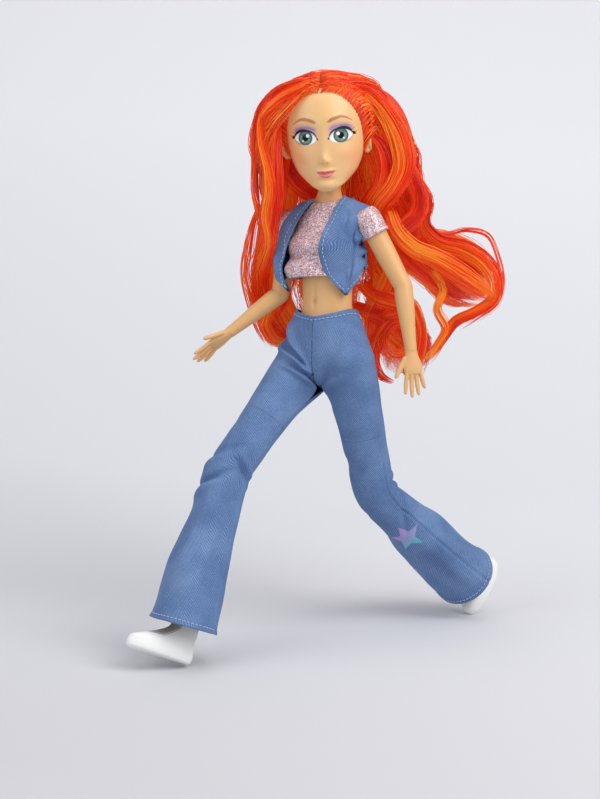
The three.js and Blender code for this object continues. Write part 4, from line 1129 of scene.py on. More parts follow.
# Folds: millimetres from the waist, degrees round from the inner seam, length, breadth, slant, height.
FOLDS = {
    "left": [
        (8, 150, 9, 1.6, 20, -0.35),
        (28, 60, 9, 1.8, -28, -1.1),
        (31, 66, 9, 2.0, -28, 0.7),
        (36, 84, 7, 1.6, -40, -0.5),
        (30, 300, 10, 2.4, 26, -0.8),
        (86, 262, 8, 1.5, 8, -0.9),
        (90, 258, 9, 2.0, 4, 0.5),
        (81, 262, 9, 2.0, -6, 0.4),
        (95, 300, 8, 1.8, 30, -0.8),
        (96, 215, 7, 1.6, -34, -0.7),
        (72, 70, 10, 3.0, 20, -0.5),
        (94, 60, 10, 2.2, -14, -0.2),
        (104, 160, 9, 1.8, -50, -0.5),
        (120, 30, 14, 3.2, 75, 0.9),
        (128, 250, 16, 3.6, 80, 0.9),
        (136, 130, 16, 4.0, 84, -0.9),
        (140, 200, 14, 3.0, 86, 0.6),
    ],
    "right": [
        (11, 92, 9, 1.9, -42, 0.8),
        (14, 96, 9, 1.5, -42, -0.9),
        (17, 70, 11, 1.9, -36, 0.8),
        (20, 74, 11, 1.5, -36, -1.3),
        (23, 80, 11, 1.9, -34, 1.2),
        (28, 38, 10, 1.9, -12, 0.8),
        (31, 42, 10, 1.5, -12, -1.3),
        (34, 50, 10, 2.0, -10, 1.0),
        (38, 96, 8, 1.8, 22, -0.5),
        (58, 120, 12, 2.6, 62, -0.4),
        (84, 118, 9, 1.5, 32, -1.0),
        (88, 116, 9, 1.9, 30, 0.7),
        (99, 126, 13, 7.0, 0, 0.7),
        (96, 104, 10, 1.5, 34, -1.0),
        (100, 100, 9, 1.9, 30, 0.6),
        (88, 30, 7, 1.6, -36, -0.9),
        (85, 26, 7, 1.8, -30, 0.8),
        (99, 150, 8, 1.8, 20, -0.7),
        (88, 265, 9, 1.8, 6, -1.2),
        (92, 262, 9, 2.0, 4, 0.8),
        (120, 100, 18, 3.4, 80, 0.7),
        (132, 40, 18, 4.0, 84, -0.8),
        (136, 170, 18, 4.2, 82, 0.9),
        (140, 250, 16, 3.8, 86, -0.8),
    ],
}


def smoothed(grid, rounds):
    """A grid with its sharp corners eased; its first and last rows stay."""
    grid = grid.copy()
    for _ in range(rounds):
        ring = (grid[:-2, 1:-1] + grid[2:, 1:-1] + grid[1:-1, :-2] + grid[1:-1, 2:]) / 4
        sides = (grid[:-2, [0, -1]] + grid[2:, [0, -1]]) / 2
        grid[1:-1, 1:-1] = (grid[1:-1, 1:-1] + ring) / 2
        grid[1:-1, [0, -1]] = (grid[1:-1, [0, -1]] + sides) / 2
    return grid


def folded(grid, at, phi, folds):
    """Creases and ridges pushed along the cloth's normals."""
    radius = np.linalg.norm(grid - grid.mean(axis=1, keepdims=True), axis=-1)
    push = np.zeros(grid.shape[:2])
    for s0, p0, length, breadth, slant, height in folds:
        turned = (phi[None, :] - math.radians(p0) + math.pi) % (2 * math.pi) - math.pi
        x = turned * radius
        y = np.repeat((at - s0)[:, None], len(phi), axis=1)
        c, s = math.cos(math.radians(slant)), math.sin(math.radians(slant))
        push += FOLD_HEIGHT * height * bell(x * c + y * s, length) * bell(-x * s + y * c, breadth)
    around, down = phi[None, :], at[:, None]
    ripple = 0.16 * np.sin(around * 5 + down * 0.11) * np.sin(down * 0.23 + around * 2)
    return grid + way_out(grid) * (push + ripple)[..., None]


# Topstitching: length of a stitch, from one stitch to the next, radius of the thread
STITCH = dict(length=1.25, spacing=1.95, radius=0.2)


def stitches(name, paths, body=None):
    """Short dashes of thread along lines on the cloth. A path has points and outward ways."""
    length, radius, dashes = STITCH["length"], STITCH["radius"], []
    for points, outs in paths:
        along = run_of(points)
        first = np.arange(STITCH["spacing"] * 0.3, along[-1] - length, STITCH["spacing"])

        def read(line, share):
            return np.stack([np.interp(first + length * share, along, line[:, k]) for k in range(3)], -1)

        a, m, b = (read(points, share) for share in (0, 0.5, 1))
        out = read(outs, 0.5) * radius
        rising, falling = (end + (m - end) * 0.45 + out * 0.5 for end in (a, b))
        dashes.append(np.stack([a - out * 0.6, rising, m + out * 0.7, falling, b - out * 0.6], 1))
    lines = np.concatenate(dashes)
    size = np.tile(np.array([0.5, 1.0, 1.0, 1.0, 0.5]) * radius, (len(lines), 1))
    points, faces, caps, _, _ = tubes(lines, size, 6)
    return finish_piece(mesh_piece(name, points, faces + [caps]), THREAD, body)


def edge_path(grid, rows, cols, outward, lift=0.12):
    """A line on a grid with its outward ways."""
    points = grid_at(grid, rows, cols)
    outs = unit(grid_at(outward, rows, cols))
    return points + outs * lift, outs


def way_out(grid, outward=None):
    """Normals that point away from each row's middle, or along a given way."""
    normal = normals_of(grid, False)
    outward = grid - grid.mean(axis=1, keepdims=True) if outward is None else outward
    return np.where((normal * outward).sum(-1, keepdims=True) < 0, -normal, normal)


HEM_DROP = {"left": 0.6, "right": 2.6}
LEG_SAG = {"left": (-1.5, -3.5, -6.5), "right": (0, 0, 0)}
# Millimetres above and below the knee
KNEE_REACH = 12
SEAM_INSET = 1.9


def across_knee(obj, side):
    start = metres(thigh_frame(side), 0, 0, KNEE_REACH - THIGH["length"])
    end = metres(knee_frame(side), 0, 0, -KNEE_REACH)
    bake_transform(obj)


def hung_leg(side):
    """The cloth of one half with its folds. Its hem hangs lower on the camera's side."""
    grid, at, phi = trouser_rings(side)
    grid = smoothed(kept_outside(grid, side, DENIM + 1.6), 220)
    grid = folded(grid, at, phi, FOLDS[side])
    grid = smoothed(kept_outside(grid, side, DENIM + 1.1), 3)
    lowest = knee_frame(side)
    seen = unit(towards_camera(lowest) * (1, 1, 0))
    leaning = (unit(moved(grid, np.linalg.inv(lowest)) * (1, 1, 0)) @ seen)[..., None]
    drop = HEM_DROP[side] * ease(at, at[-1] - 42, at[-1])[:, None, None] * leaning
    grid = grid - drop * lowest[:3, 2]
    knee_row = TROUSERS["waist"] + THIGH["length"]
    grid = grid + ease(at, knee_row - 10, at[-1])[:, None, None] * np.array(LEG_SAG[side])
    edge = (np.minimum(phi, 2 * math.pi - phi) < 0.35)[None, :] & (at[:, None] < 38)
    crossing = edge & (SIDES[side] * grid[..., 0] < 0)
    grid[..., 0] = np.where(crossing, 0, grid[..., 0])
    return grid, at, phi


def seamed(grid, at, phi):
    """Seams as shallow grooves with a raised lip, and thick edges at waist and hem."""
    inner = np.minimum(phi, 2 * math.pi - phi)[None, :] * 10
    outer_seam = np.abs(phi - math.pi)[None, :] * 10
    deep = ease(at, 62, 84)[:, None]
    groove = -0.12 * bell(inner, 0.5) + 0.1 * bell(inner - 1.1, 0.7)
    groove = groove + (0.06 + 0.3 * deep) * (0.6 * bell(outer_seam - 1.1, 0.7) - 1.3 * bell(outer_seam, 0.5))
    lips = 0.16 * (bell(at - at[-1] + 0.6, 0.8) + bell(at - 0.5, 0.8))
    dips = 0.1 * (bell(at - at[-1] + 2.6, 0.5) + bell(at - 2.4, 0.5))
    return grid + way_out(grid) * (groove + (lips - dips)[:, None])[..., None]


def trousers(side):
    grid, at, phi = hung_leg(side)
    grid = seamed(grid, at, phi)
    split = int(np.searchsorted(at, TROUSERS["waist"] + 0.55 * THIGH["length"]))
    upper = cloth_of(f"trousers_{side}_upper", grid[: split + 1], DENIM)
    start = lengths_of(grid[: split + 1], False)[1][-1]
    lower = cloth_of(f"trousers_{side}_lower", grid[split:], DENIM, start=start)
    for obj in (upper, lower):
        finish_piece(obj, TWILL, None, [f"trousers_{side}_half"], SHADED_TWILL_INSIDE)
    outward = way_out(grid)
    cols = np.linspace(2, COLUMNS - 3, 400)
    threads = []
    for place, height in (("waist", SEAM_INSET), ("hem", at[-1] - SEAM_INSET)):
        rows = np.full(len(cols), np.interp(height, at, np.arange(len(at))))
        line = edge_path(grid, rows, cols, outward)
        threads.append(stitches(f"{place}_stitching_{side}", [line]))
    top, bottom = threads
    hip_start, hip_end = metres(EYE4, SIDES[side] * 5, 0, -8), metres(thigh_frame(side), 0, 0, -26)
    for obj in (upper, top):
        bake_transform(obj)
        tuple(hip_start)
        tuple(hip_end)
    for obj in (lower, bottom):
        across_knee(obj, side)
    prints = stars(grid, outward) if side == "left" else []
    declare_cloth(upper, "trouser_top")
    declare_cloth(lower, "trouser_leg")


def seat_lining():
    """Denim below the two halves where they meet at the seat and the crotch."""
    grid = level_rings(TORSO_TABLE, 190, ring_angles(96), grow=0.9)
    grid = cut_at_hips(grid[grid[:, 0, 2] < 20], 0.1)
    return finish_piece(skin_of("trousers_seat_lining", grid), TWILL, "torso")


# How far the lining stands off the thigh
LINING = 0.35


def thigh_lining(side):
    """Denim close round the top of the thigh, which shows when the leg is raised."""
    table = np.array(THIGH_TABLE)
    ball = HIP["radius"] + LINING
    turns = np.radians(np.linspace(3, 90, 24))
    below = np.linspace(0.02, 0.45, 30)
    wide = curve(table[:, 0], table[:, 1], below) * THIGH["radius"] + LINING
    size = np.concatenate([ball * np.sin(turns), wide])
    height = np.concatenate([ball * np.cos(turns), -below * THIGH["length"]])
    angles = ring_angles(72)
    grid = rings_at(np.outer(size, np.cos(angles)), np.outer(size, np.sin(angles)), height)
    grid = moved(grid, thigh_frame(side))
    grid -= np.minimum(past_hip(side, grid) - 0.1, 0)[..., None] * hip_axis(side)
    obj = skin_of(f"trousers_thigh_lining_{side}", grid)
    return finish_piece(obj, TWILL, f"thigh_{side}")


# Stars on the left leg: millimetres across and up from the neck pin as the camera sees them, radius.
STARS = [[36, -163.5, 8.5], [38, -177, 3.5]]


def star_rings(radius, rings):
    """A five-pointed star as rings of 100 points about its middle."""
    turned = np.linspace(0, 2 * math.pi, 101)[:-1]
    corner = (turned * 5 / math.pi) % 1
    odd = (turned * 5 / math.pi).astype(int) % 2
    near, far = np.where(odd, 1.0, 0.45), np.where(odd, 0.45, 1.0)
    theta, fifth = corner * math.pi / 5, math.pi / 5
    edge = radius * near * far * math.sin(fifth) / (near * np.sin(theta) + far * np.sin(fifth - theta))
    angle = turned[None] + math.pi * 1.5 - fifth
    return rings * edge[None] * np.cos(angle), rings * edge[None] * np.sin(angle)


def stars(grid, outward):
    """Plain prints that lie on the cloth."""
    back, right, up = camera_ways()
    spin = WORLD[:3, :3]
    world = moved(grid, WORLD) - joint_at["neck_nod"]
    near = CAMERA["distance"] / (CAMERA["distance"] - world @ back)
    facing = (outward @ spin.T) @ back > 0.15
    made = []
    for k, (across, upward, radius) in enumerate(STARS):
        miss = np.hypot(world @ right * near - across, world @ up * near - upward) + 100 * ~facing
        row, col = np.unravel_index(np.argmin(miss), miss.shape)
        down, along = grid[row + 1, col] - grid[row - 1, col], grid[row, col + 1] - grid[row, col - 1]
        per_row, per_col = np.linalg.norm(down) / 2, np.linalg.norm(along) / 2
        heading = math.atan2((spin @ down) @ right, -(spin @ down) @ up)
        flip = 1.0 if (spin @ along) @ right > 0 else -1.0
        x, y = star_rings(radius, np.linspace(0, 1, 22)[1:, None])
        c, s = math.cos(heading), math.sin(heading)
        cols = col + flip * (x * c + y * s) / per_col
        rows = row + (x * s - y * c) / per_row
        points = grid_at(grid, rows, cols) + grid_at(outward, rows, cols) * 0.1
        middle = grid[row, col] + outward[row, col] * 0.1
        rr, cc = grid_faces(*x.shape, True)
        quads = 1 + rr * 100 + cc % 100
        i = np.arange(100)
        fan = np.stack([np.zeros(100, int), 1 + i, 1 + (i + 1) % 100], axis=1)
        tone = np.concatenate([[0.5], (0.5 + 0.5 * (x * 0.75 - y * 0.65) / radius).ravel()])
        every = np.concatenate([middle[None], points.reshape(-1, 3)])
        obj = mesh_piece(f"star_print_{k + 1}", every, [quads, fan], tones={"tone": tone})
        finish_piece(obj, PRINT)
        across_knee(obj, "left")
        made.append(obj)
    return made


# Tops


# Heights of the knit top's hem and neck, and the size of its grid
TOP = dict(hem=39.5, neck=75.2, rows=120, columns=144)
# The hem's rolled edge and the neck's: height, how far they stand out, half height
TOP_ROLLS = [(40.2, 0.35, 0.8), (75.8, 0.4, 0.7)]
# Pinches and loose places near the hem: how far out, degrees from the front and height, and their halves
TOP_PINCHES = [(3.4, -46, 43, 20, 3), (-1.8, -40, 48.5, 20, 1.6), (0.9, -10, 42, 30, 3)]


def knit_push(around, z, hem):
    """How far the knit stands off the body, around in degrees from the front."""
    turned = np.radians(around)
    wave = 0.5 * np.sin(turned * 3 + 0.6) + 0.35 * np.sin(turned * 7)
    gathers = 0.22 * np.sin(turned * 22) * ease(z, 68, 74)
    soft = 0.3 * np.sin(z * 0.5 + turned * 2) * ease(z, 44, 52) * (1 - ease(z, 62, 68))
    rolls = sum(out * bell(z - at, high) for at, out, high in TOP_ROLLS)
    loose = 4.2 * bell(around + 66, 44) * ease(64 - z, 0, 15)
    return 0.5 + hem * (0.9 + wave * 0.6) + relief(around, z, TOP_PINCHES) + gathers + soft + rolls + loose


def knit_top():
    angles = ring_angles(TOP["columns"])
    grid = level_rings(BUST_TABLE, 400, angles, grow=GAP + KNIT)
    height = grid[:, 0, 2]
    keep = (height >= TOP["hem"]) & (height <= TOP["neck"])
    grid = grid[keep][:: max(1, keep.sum() // TOP["rows"])]
    z = grid[..., 2]
    around = np.degrees((angles[None, :] + math.pi * 1.5) % (2 * math.pi) - math.pi)
    hem = ease(-(z - 46), 0, 6.5)
    push = knit_push(around, z, hem)
    push *= 1 - 0.75 * ease(np.abs(grid[..., 0]), 12.5, 14.6) * ease(z, 54, 58)
    grid = grid + unit(grid * (1, 1, 0)) * push[..., None]
    ledge = SHOULDER["face"] - 0.1
    grid[..., 0] = np.clip(grid[..., 0], -ledge, ledge)
    grid[..., 2] += hem * (0.5 * np.sin(np.radians(around) * 2 + 0.8) - 1.0)
    grid[..., 2] -= 2.2 * bell(around, 50) * ease(z, 66, 75)
    obj = cloth_of("knit_top_body", grid, KNIT, wrap=True)
    finish_piece(obj, GLITTER, "torso", ["top_bodice"])
    declare_cloth(obj, "knit_body")


# Millimetres down the arm where a sleeve starts and ends
SLEEVE = (-4.2, 8.6)


def cap_sleeve(side):
    sign = SIDES[side]
    rows = np.array([(s * ARM["upper"], r * ARM["radius"]) for s, r in UPPER_ARM_SHARES])
    along = np.linspace(*SLEEVE, 40)
    radius = np.interp(along, rows[:, 0], rows[:, 1]) + GAP + KNIT
    radius *= 1 - 0.22 * ease(-along, 2.5, 5.4)
    radius += 0.3 * bell(along - 7.9, 0.8) + 0.2 * ease(along, 4, 8)
    middle = arm_point(side, along)
    angles = ring_angles(72)
    down = unit(arm_point(side, 10) - arm_point(side, 0))
    across = unit(np.array((1.0, 0, 0)) - down * down[0])
    deep = np.cross(down, across)
    ruffle = 1 + 0.03 * np.sin(angles * 5 + 1)[None, :] * ease(along, 2, 8)[:, None]
    ways = across * np.cos(angles)[:, None] + deep * np.sin(angles)[:, None]
    rings = middle[:, None] + radius[:, None, None] * ways[None] * ruffle[..., None]
    face = sign * (SHOULDER["face"] - SHOULDER["half_width"] + GAP)
    x = rings[..., 0]
    rings[..., 0] = np.where(sign * x < sign * face, face, x)
    obj = cloth_of(f"cap_sleeve_{side}", rings, KNIT, True, arm_frame(side))
    finish_piece(obj, GLITTER, f"arm_{side}", [f"top_sleeve_{side}"])
    declare_cloth(obj, "sleeve")


VEST_SHARES = [
    [0.33, 0.84, 0.86, 0.8],
    [0.45, 0.86, 1.0, 0.82],
    [0.56, 0.86, 1.12, 0.84],
    [0.63, 0.855, 1.23, 0.88],
    [0.7, 0.85, 1.09, 0.88],
    [0.775, 0.87, 0.84, 0.83],
    [0.835, 0.85, 0.7, 0.75],
    [0.875, 0.7, 0.64, 0.68],
    [0.915, 0.52, 0.62, 0.64],
]
# Places of a front from the shoulder to its tip: the edge at the middle, the edge at the arm.
PANEL_PLACES = {
    "left": [
        [[9, -2, 76.5], [24.5, 1, 70.5]],
        [[7.5, -7, 70.5], [22, -1.5, 69]],
        [[5.5, -8.5, 65], [20, -3, 66]],
        [[3.5, -10, 60], [18.5, -3, 62]],
        [[2, -11, 54.5], [19, -0.5, 57]],
        [[1, -10.5, 50], [19.5, 2, 52.5]],
        [[2, -9.5, 45], [19.5, 2.5, 47.5]],
        [[4, -9, 40.5], [19, 0.5, 41.5]],
        [[7.5, -7.5, 36], [17, -2.5, 36]],
        [[13.5, -5.5, 31], [13.5, -5, 31]],
    ],
    "right": [
        [[-4.5, -6.5, 75], [-14, -3.5, 74]],
        [[-7.5, -9.5, 70], [-16.5, -6.5, 70.5]],
        [[-10.5, -11, 64.5], [-19, -9, 65]],
        [[-13, -11.5, 59], [-20.5, -11, 58.5]],
        [[-15, -12, 53.5], [-21, -12, 52]],
        [[-16, -12.5, 48.5], [-21, -13, 45]],
        [[-17, -13, 44], [-20, -13, 39]],
        [[-16.5, -12.5, 39], [-18, -12.5, 35]],
        [[-14.5, -10.5, 32.5], [-14, -10.5, 32.5]],
    ],
}
PANEL_SWELL = {"left": 4.2, "right": 2.4}
# Rows of a front, counted from the shoulder, where its side seam starts and ends, and the seam's places.
SIDE_SEAM = {
    "left": (4.4, 6.6, [[16.6, 2.5, 55.5], [17.0, 3.5, 44.5]]),
    "right": (4.0, 6.4, [[-16.4, 1.5, 55.5], [-17.0, 0.5, 44.5]]),
}
# How far the stitching lies from a front's edge and from its hem
EDGE_INSET, HEM_INSET = 1.4, 2.2
# Puckers of the left front: row, height, breadth, slant.
VEST_PUCKERS = [(4.55, -2.4, 0.26, 1.2), (4.0, 1.4, 0.3, 1.4), (5.25, 1.3, 0.3, 0.8), (5.7, -1.9, 0.24, 0.5)]
BACK_EDGE = [[0, 71.5], [30, 67.5], [38, 62], [24, 57.5], [8, 55.5], [6, 51], [6, 47], [6, 43]]


def vest_surface(theta, z, grow=0.0):
    """Places on the vest's outer face, theta in degrees from the left side, minus to the front."""
    table = np.array(sized(VEST_SHARES))
    sizes = curve(table[:, 0], table[:, 1:], np.clip(z, table[0, 0], table[-1, 0]))
    w, f, b = np.moveaxis(sizes, -1, 0) + DENIM + grow
    t = np.radians(theta)
    y = np.where(np.sin(t) < 0, f, b) * np.sin(t)
    return np.stack([w * np.cos(t), y, z], axis=-1)


def over_top(grid, clear):
    """Cloth moved towards the camera until it lies over the knit top."""
    toward = towards_camera()
    table = np.array(BUST_TABLE)
    for _ in range(60):
        z = np.clip(grid[..., 2], table[0, 0], table[-1, 0])
        w, f, b = np.moveaxis(curve(table[:, 0], table[:, 1:], z), -1, 0) + GAP + KNIT + clear
        share = np.hypot(grid[..., 0] / w, grid[..., 1] / np.where(grid[..., 1] < 0, f, b))
        grid = grid + (share < 1)[..., None] * toward * 0.25
    return grid


def vest_folds(side, down, width):
    """How far a front's cloth goes out, down by rows and across from 0 to 1."""
    push = 0.3 * bell(width, 0.1) + 0.18 * np.sin(down * 2.1 + width * 5) * np.sin(width * 7)
    if side == "right":
        return push - 0.5 * bell(down - 2.2 + width, 0.3) + 0.4 * bell(down - 4.4 - width, 0.4)
    dart = curve([3.2, 4.6, 5.5, 6.4, 7.4], [0.8, 0.56, 0.47, 0.44, 0.54], down)
    long = ease(down, 2.8, 3.6) * (1 - ease(down, 7.2, 8.2))
    push = push + (0.55 * bell(width - dart + 0.07, 0.05) - 1.0 * bell(width - dart, 0.026)) * long
    for at, size, breadth, slant in VEST_PUCKERS:
        push = push + size * bell(down - at + (width - 0.8) * slant, breadth) * ease(width, 0.48, 0.8)
    upper = ease(down, 0.6, 1.6) * (1 - ease(down, 2.6, 3.6))
    return push - 0.6 * bell(width - 0.3 - 0.05 * down, 0.06) * upper


def vest_front(side):
    rows, cols = 120, 72
    places = np.array(PANEL_PLACES[side])
    r = np.linspace(0, len(places) - 1, rows)
    c = np.linspace(0, 1, cols)
    inner = curve(np.arange(len(places)), places[:, 0], r)
    outer = curve(np.arange(len(places)), places[:, 1], r)
    begin, end, seam = SIDE_SEAM[side]
    share = np.clip((r - begin) / (end - begin), 0, 1)[:, None]
    seam = np.array(seam[0]) * (1 - share) + np.array(seam[1]) * share
    reaching = (ease(r, begin - 0.5, begin + 0.3) * (1 - ease(r, end - 0.3, end + 0.9)))[:, None]
    beyond = outer + (seam - outer) * reaching
    turn_at = 1 - 0.2 * reaching[..., None]
    outward = unit((inner + outer) / 2 * (1, 1, 0))
    swell = PANEL_SWELL[side] * ease(r, 0.5, 2.5) * (1 - ease(r, len(places) - 3.2, len(places) - 1))
    main = np.clip(c[None, :, None] / turn_at, 0, 1)
    back = ease(c, 0.7, 1)[None, :, None]
    grid = inner[:, None] * (1 - main) + outer[:, None] * main
    grid = grid + (beyond - outer)[:, None] * back
    grid = grid + outward[:, None] * swell[:, None, None] * np.sin(main * math.pi) ** 0.8
    grid = smoothed(over_top(grid, DENIM + 1.2), 12)
    down, width = r[:, None], c[None, :]
    normal = way_out(grid, grid * (1, 1, 0))
    grid = grid + normal * vest_folds(side, down, width)[..., None]
    obj = cloth_of(f"vest_panel_{side}", grid, DENIM)
    panel = finish_piece(obj, TWILL, "torso", [f"vest_front_{side}"], SHADED_TWILL_INSIDE)
    line = np.linspace(2, rows - 5, 400)
    span = np.maximum(np.linalg.norm(np.diff(grid, axis=1), axis=-1).sum(1), 0.1)
    inset = np.interp(line, np.arange(rows), np.minimum(EDGE_INSET / span, 0.4) * (cols - 1))
    paths = [edge_path(grid, line, inset, normal)]
    hem = np.linspace(rows * 0.78, rows - 5, 200)
    hem_inset = np.interp(hem, np.arange(rows), np.minimum(HEM_INSET / span, 0.4) * (cols - 1))
    paths.append(edge_path(grid, hem, cols - 1 - hem_inset, normal, 0.2))
    thread = stitches(f"vest_stitching_{side}", paths, "torso")
    declare_cloth(panel, f"vest_front_{side}")


def vest_back_piece():
    rows, cols = 100, 110
    edge = resampled(np.array(BACK_EDGE) * (0.3, 1), rows)
    c = np.linspace(0, 1, cols)[None, :]
    left = edge[:, 0:1] / 0.3
    theta = left * (1 - c) + (180 - left) * c
    z = np.repeat(edge[:, 1:2], cols, axis=1)
    neck = bell((theta - 90), 42) * ease(z, 60, 76)
    z = z + 5.2 * bell(np.abs(theta - 90) - 52, 30) * ease(z, 60, 70.8) - 1.2 * neck
    flare = 0.5 + 2.2 * bell(np.abs(theta - 90) - 84, 22) * ease(58 - z, 0, 8)
    flare = flare + 0.25 * np.sin(np.radians(theta) * 6) * ease(50 - z, 0, 14)
    grid = vest_surface(theta, z, flare)
    obj = cloth_of("vest_back_panel", grid, DENIM)
    finish_piece(obj, TWILL, "torso", ["vest_back"], SHADED_TWILL_INSIDE)
    outward = way_out(grid, grid * (1, 1, 0))
    path = edge_path(grid, np.full(400, rows - 4.5), np.linspace(2, cols - 3, 400), outward)
    thread = stitches("vest_back_stitching", [path], "torso")
    declare_cloth(obj, "vest_back")


# Head

HEAD_SHARES = [
    [-0.1, 0.16, -0.8, -0.62],
    [-0.06, 0.34, -0.87, -0.42],
    [0, 0.52, -0.91, 0.1],
    [0.08, 0.69, -0.93, 0.36],
    [0.19, 0.83, -0.95, 0.66],
    [0.31, 0.92, -0.97, 0.88],
    [0.43, 0.97, -0.98, 1.0],
    [0.55, 0.99, -0.98, 1.05],
    [0.67, 0.96, -0.93, 1.04],
    [0.78, 0.86, -0.8, 0.94],
    [0.87, 0.67, -0.58, 0.75],
    [0.93, 0.42, -0.32, 0.48],
    [0.955, 0.2, -0.12, 0.27],
]
HEAD_SIZES = (HEAD["height"], HEAD["half_width"], HEAD["half_depth"], HEAD["half_depth"])
HEAD_TABLE = np.array(HEAD_SHARES) * HEAD_SIZES
EYE = dict(out=8.1, up=20.5, half=5.3, high=3.5, low=2.7, tilt=7)
# Forms of the face: how far they stand out, place out from the middle and up, half width and half height.
FEATURES = {
    "socket": (-1.2, EYE["out"], EYE["up"], 5.4, 4.2),
    "eyeball": (1.0, EYE["out"], EYE["up"] - 0.2, 3.9, 3.1),
    "brow": (0.55, 7, 28.5, 6, 2.6),
    "nostril": (0.7, 1.9, 9.8, 0.95, 1.0),
    "groove above the lips": (-0.25, 0, 7.4, 0.8, 1.0),
    "lower lip": (1.2, 0, 2.9, 2.9, 1.15),
    "below the lip": (-0.6, 0, 0.6, 3.4, 1.1),
    "chin": (1.1, 0, -2.8, 3.6, 2.4),
    "cheek": (0.8, 10.5, 12, 4.5, 5),
}
# The nose from tip to root: height, how far it stands out; and height, half breadth.
NOSE_HEIGHTS = [7.2, 8.2, 9.4, 10.8, 13.0, 16, 20, 25, 29]
NOSE_OUT = [0.0, 0.5, 1.7, 2.3, 1.2, 0.5, 0.25, 0.1, 0.0]
NOSE_BREADTH = [7.2, 10.8, 14, 20, 29], [1.9, 1.8, 1.9, 2.4, 3.4]
# The make-up's colours, with a painted shadow of the upper lid on the eye white and painted highlights in the
# eyes and on the lower lip
PAINT = dict(
    blush=(236, 128, 106),
    lid=(170, 132, 196),
    crease=(150, 92, 96),
    eye_white=(250, 250, 252),
    painted_lid_shadow=(120, 120, 140),
    iris_rim=(36, 50, 54),
    iris=(86, 118, 116),
    iris_rays=(150, 186, 160),
    pupil=(12, 12, 16),
    glint=(255, 255, 255),
    liner=(24, 16, 20),
    low_liner=(60, 34, 38),
    lash=(20, 14, 18),
    low_lash=(40, 24, 28),
    brow=(158, 74, 42),
    lips=(226, 122, 124),
    painted_lip_highlight=(246, 176, 176),
    mouth_line=(150, 62, 66),
    nostril=(176, 108, 82),
    scalp=(170, 34, 10),
)


def skull(psi, z):
    """The head's surface, psi in degrees from the front, plus to the doll's left."""
    w, front, back = np.moveaxis(curve(HEAD_TABLE[:, 0], HEAD_TABLE[:, 1:], z), -1, 0)
    psi = np.radians(psi)
    y = (front + back) / 2 - (back - front) / 2 * np.cos(psi)
    return np.stack([w * np.sin(psi), y, np.broadcast_to(z, y.shape)], axis=-1)


def sculpted(grid):
    """Features pushed forward or back on the front of the head."""
    x, y, z = np.moveaxis(grid, -1, 0)
    a = np.abs(x)
    push = relief(a, z, FEATURES.values())
    bridge, breadth = curve(NOSE_HEIGHTS, NOSE_OUT, z), curve(*NOSE_BREADTH, z)
    push += bridge * bell(x / breadth, 1) * (z > NOSE_HEIGHTS[0]) * (z < NOSE_HEIGHTS[-1])
    push += 1.0 * bell(x, 3.3) * bell(z - 5.3 - 0.05 * a, 1.0)
    push -= 0.5 * bell(x, 3.6) * bell(z - 4.15 - 0.04 * x * x, 0.4)
    grid = grid.copy()
    grid[..., 1] -= push * ease(-y, 4, 12)
    grid[..., 2] += 1.3 * ease(9 - z, 0, 13)
    return grid


def inside(distance, soft=0.14):
    return np.clip(0.5 - distance / (2 * soft), 0, 1)


def stroke(px, pz, start, end, wide, narrow):
    """A tapering stroke between two places."""
    d = np.subtract(end, start)
    t = np.clip(((px - start[0]) * d[0] + (pz - start[1]) * d[1]) / (d @ d), 0, 1)
    away = np.hypot(px - start[0] - t * d[0], pz - start[1] - t * d[1])
    return inside(away - (wide + (narrow - wide) * t), 0.12)


def arch(x, half, power):
    return np.clip(1 - (x / half) ** 2, 0, 1) ** power


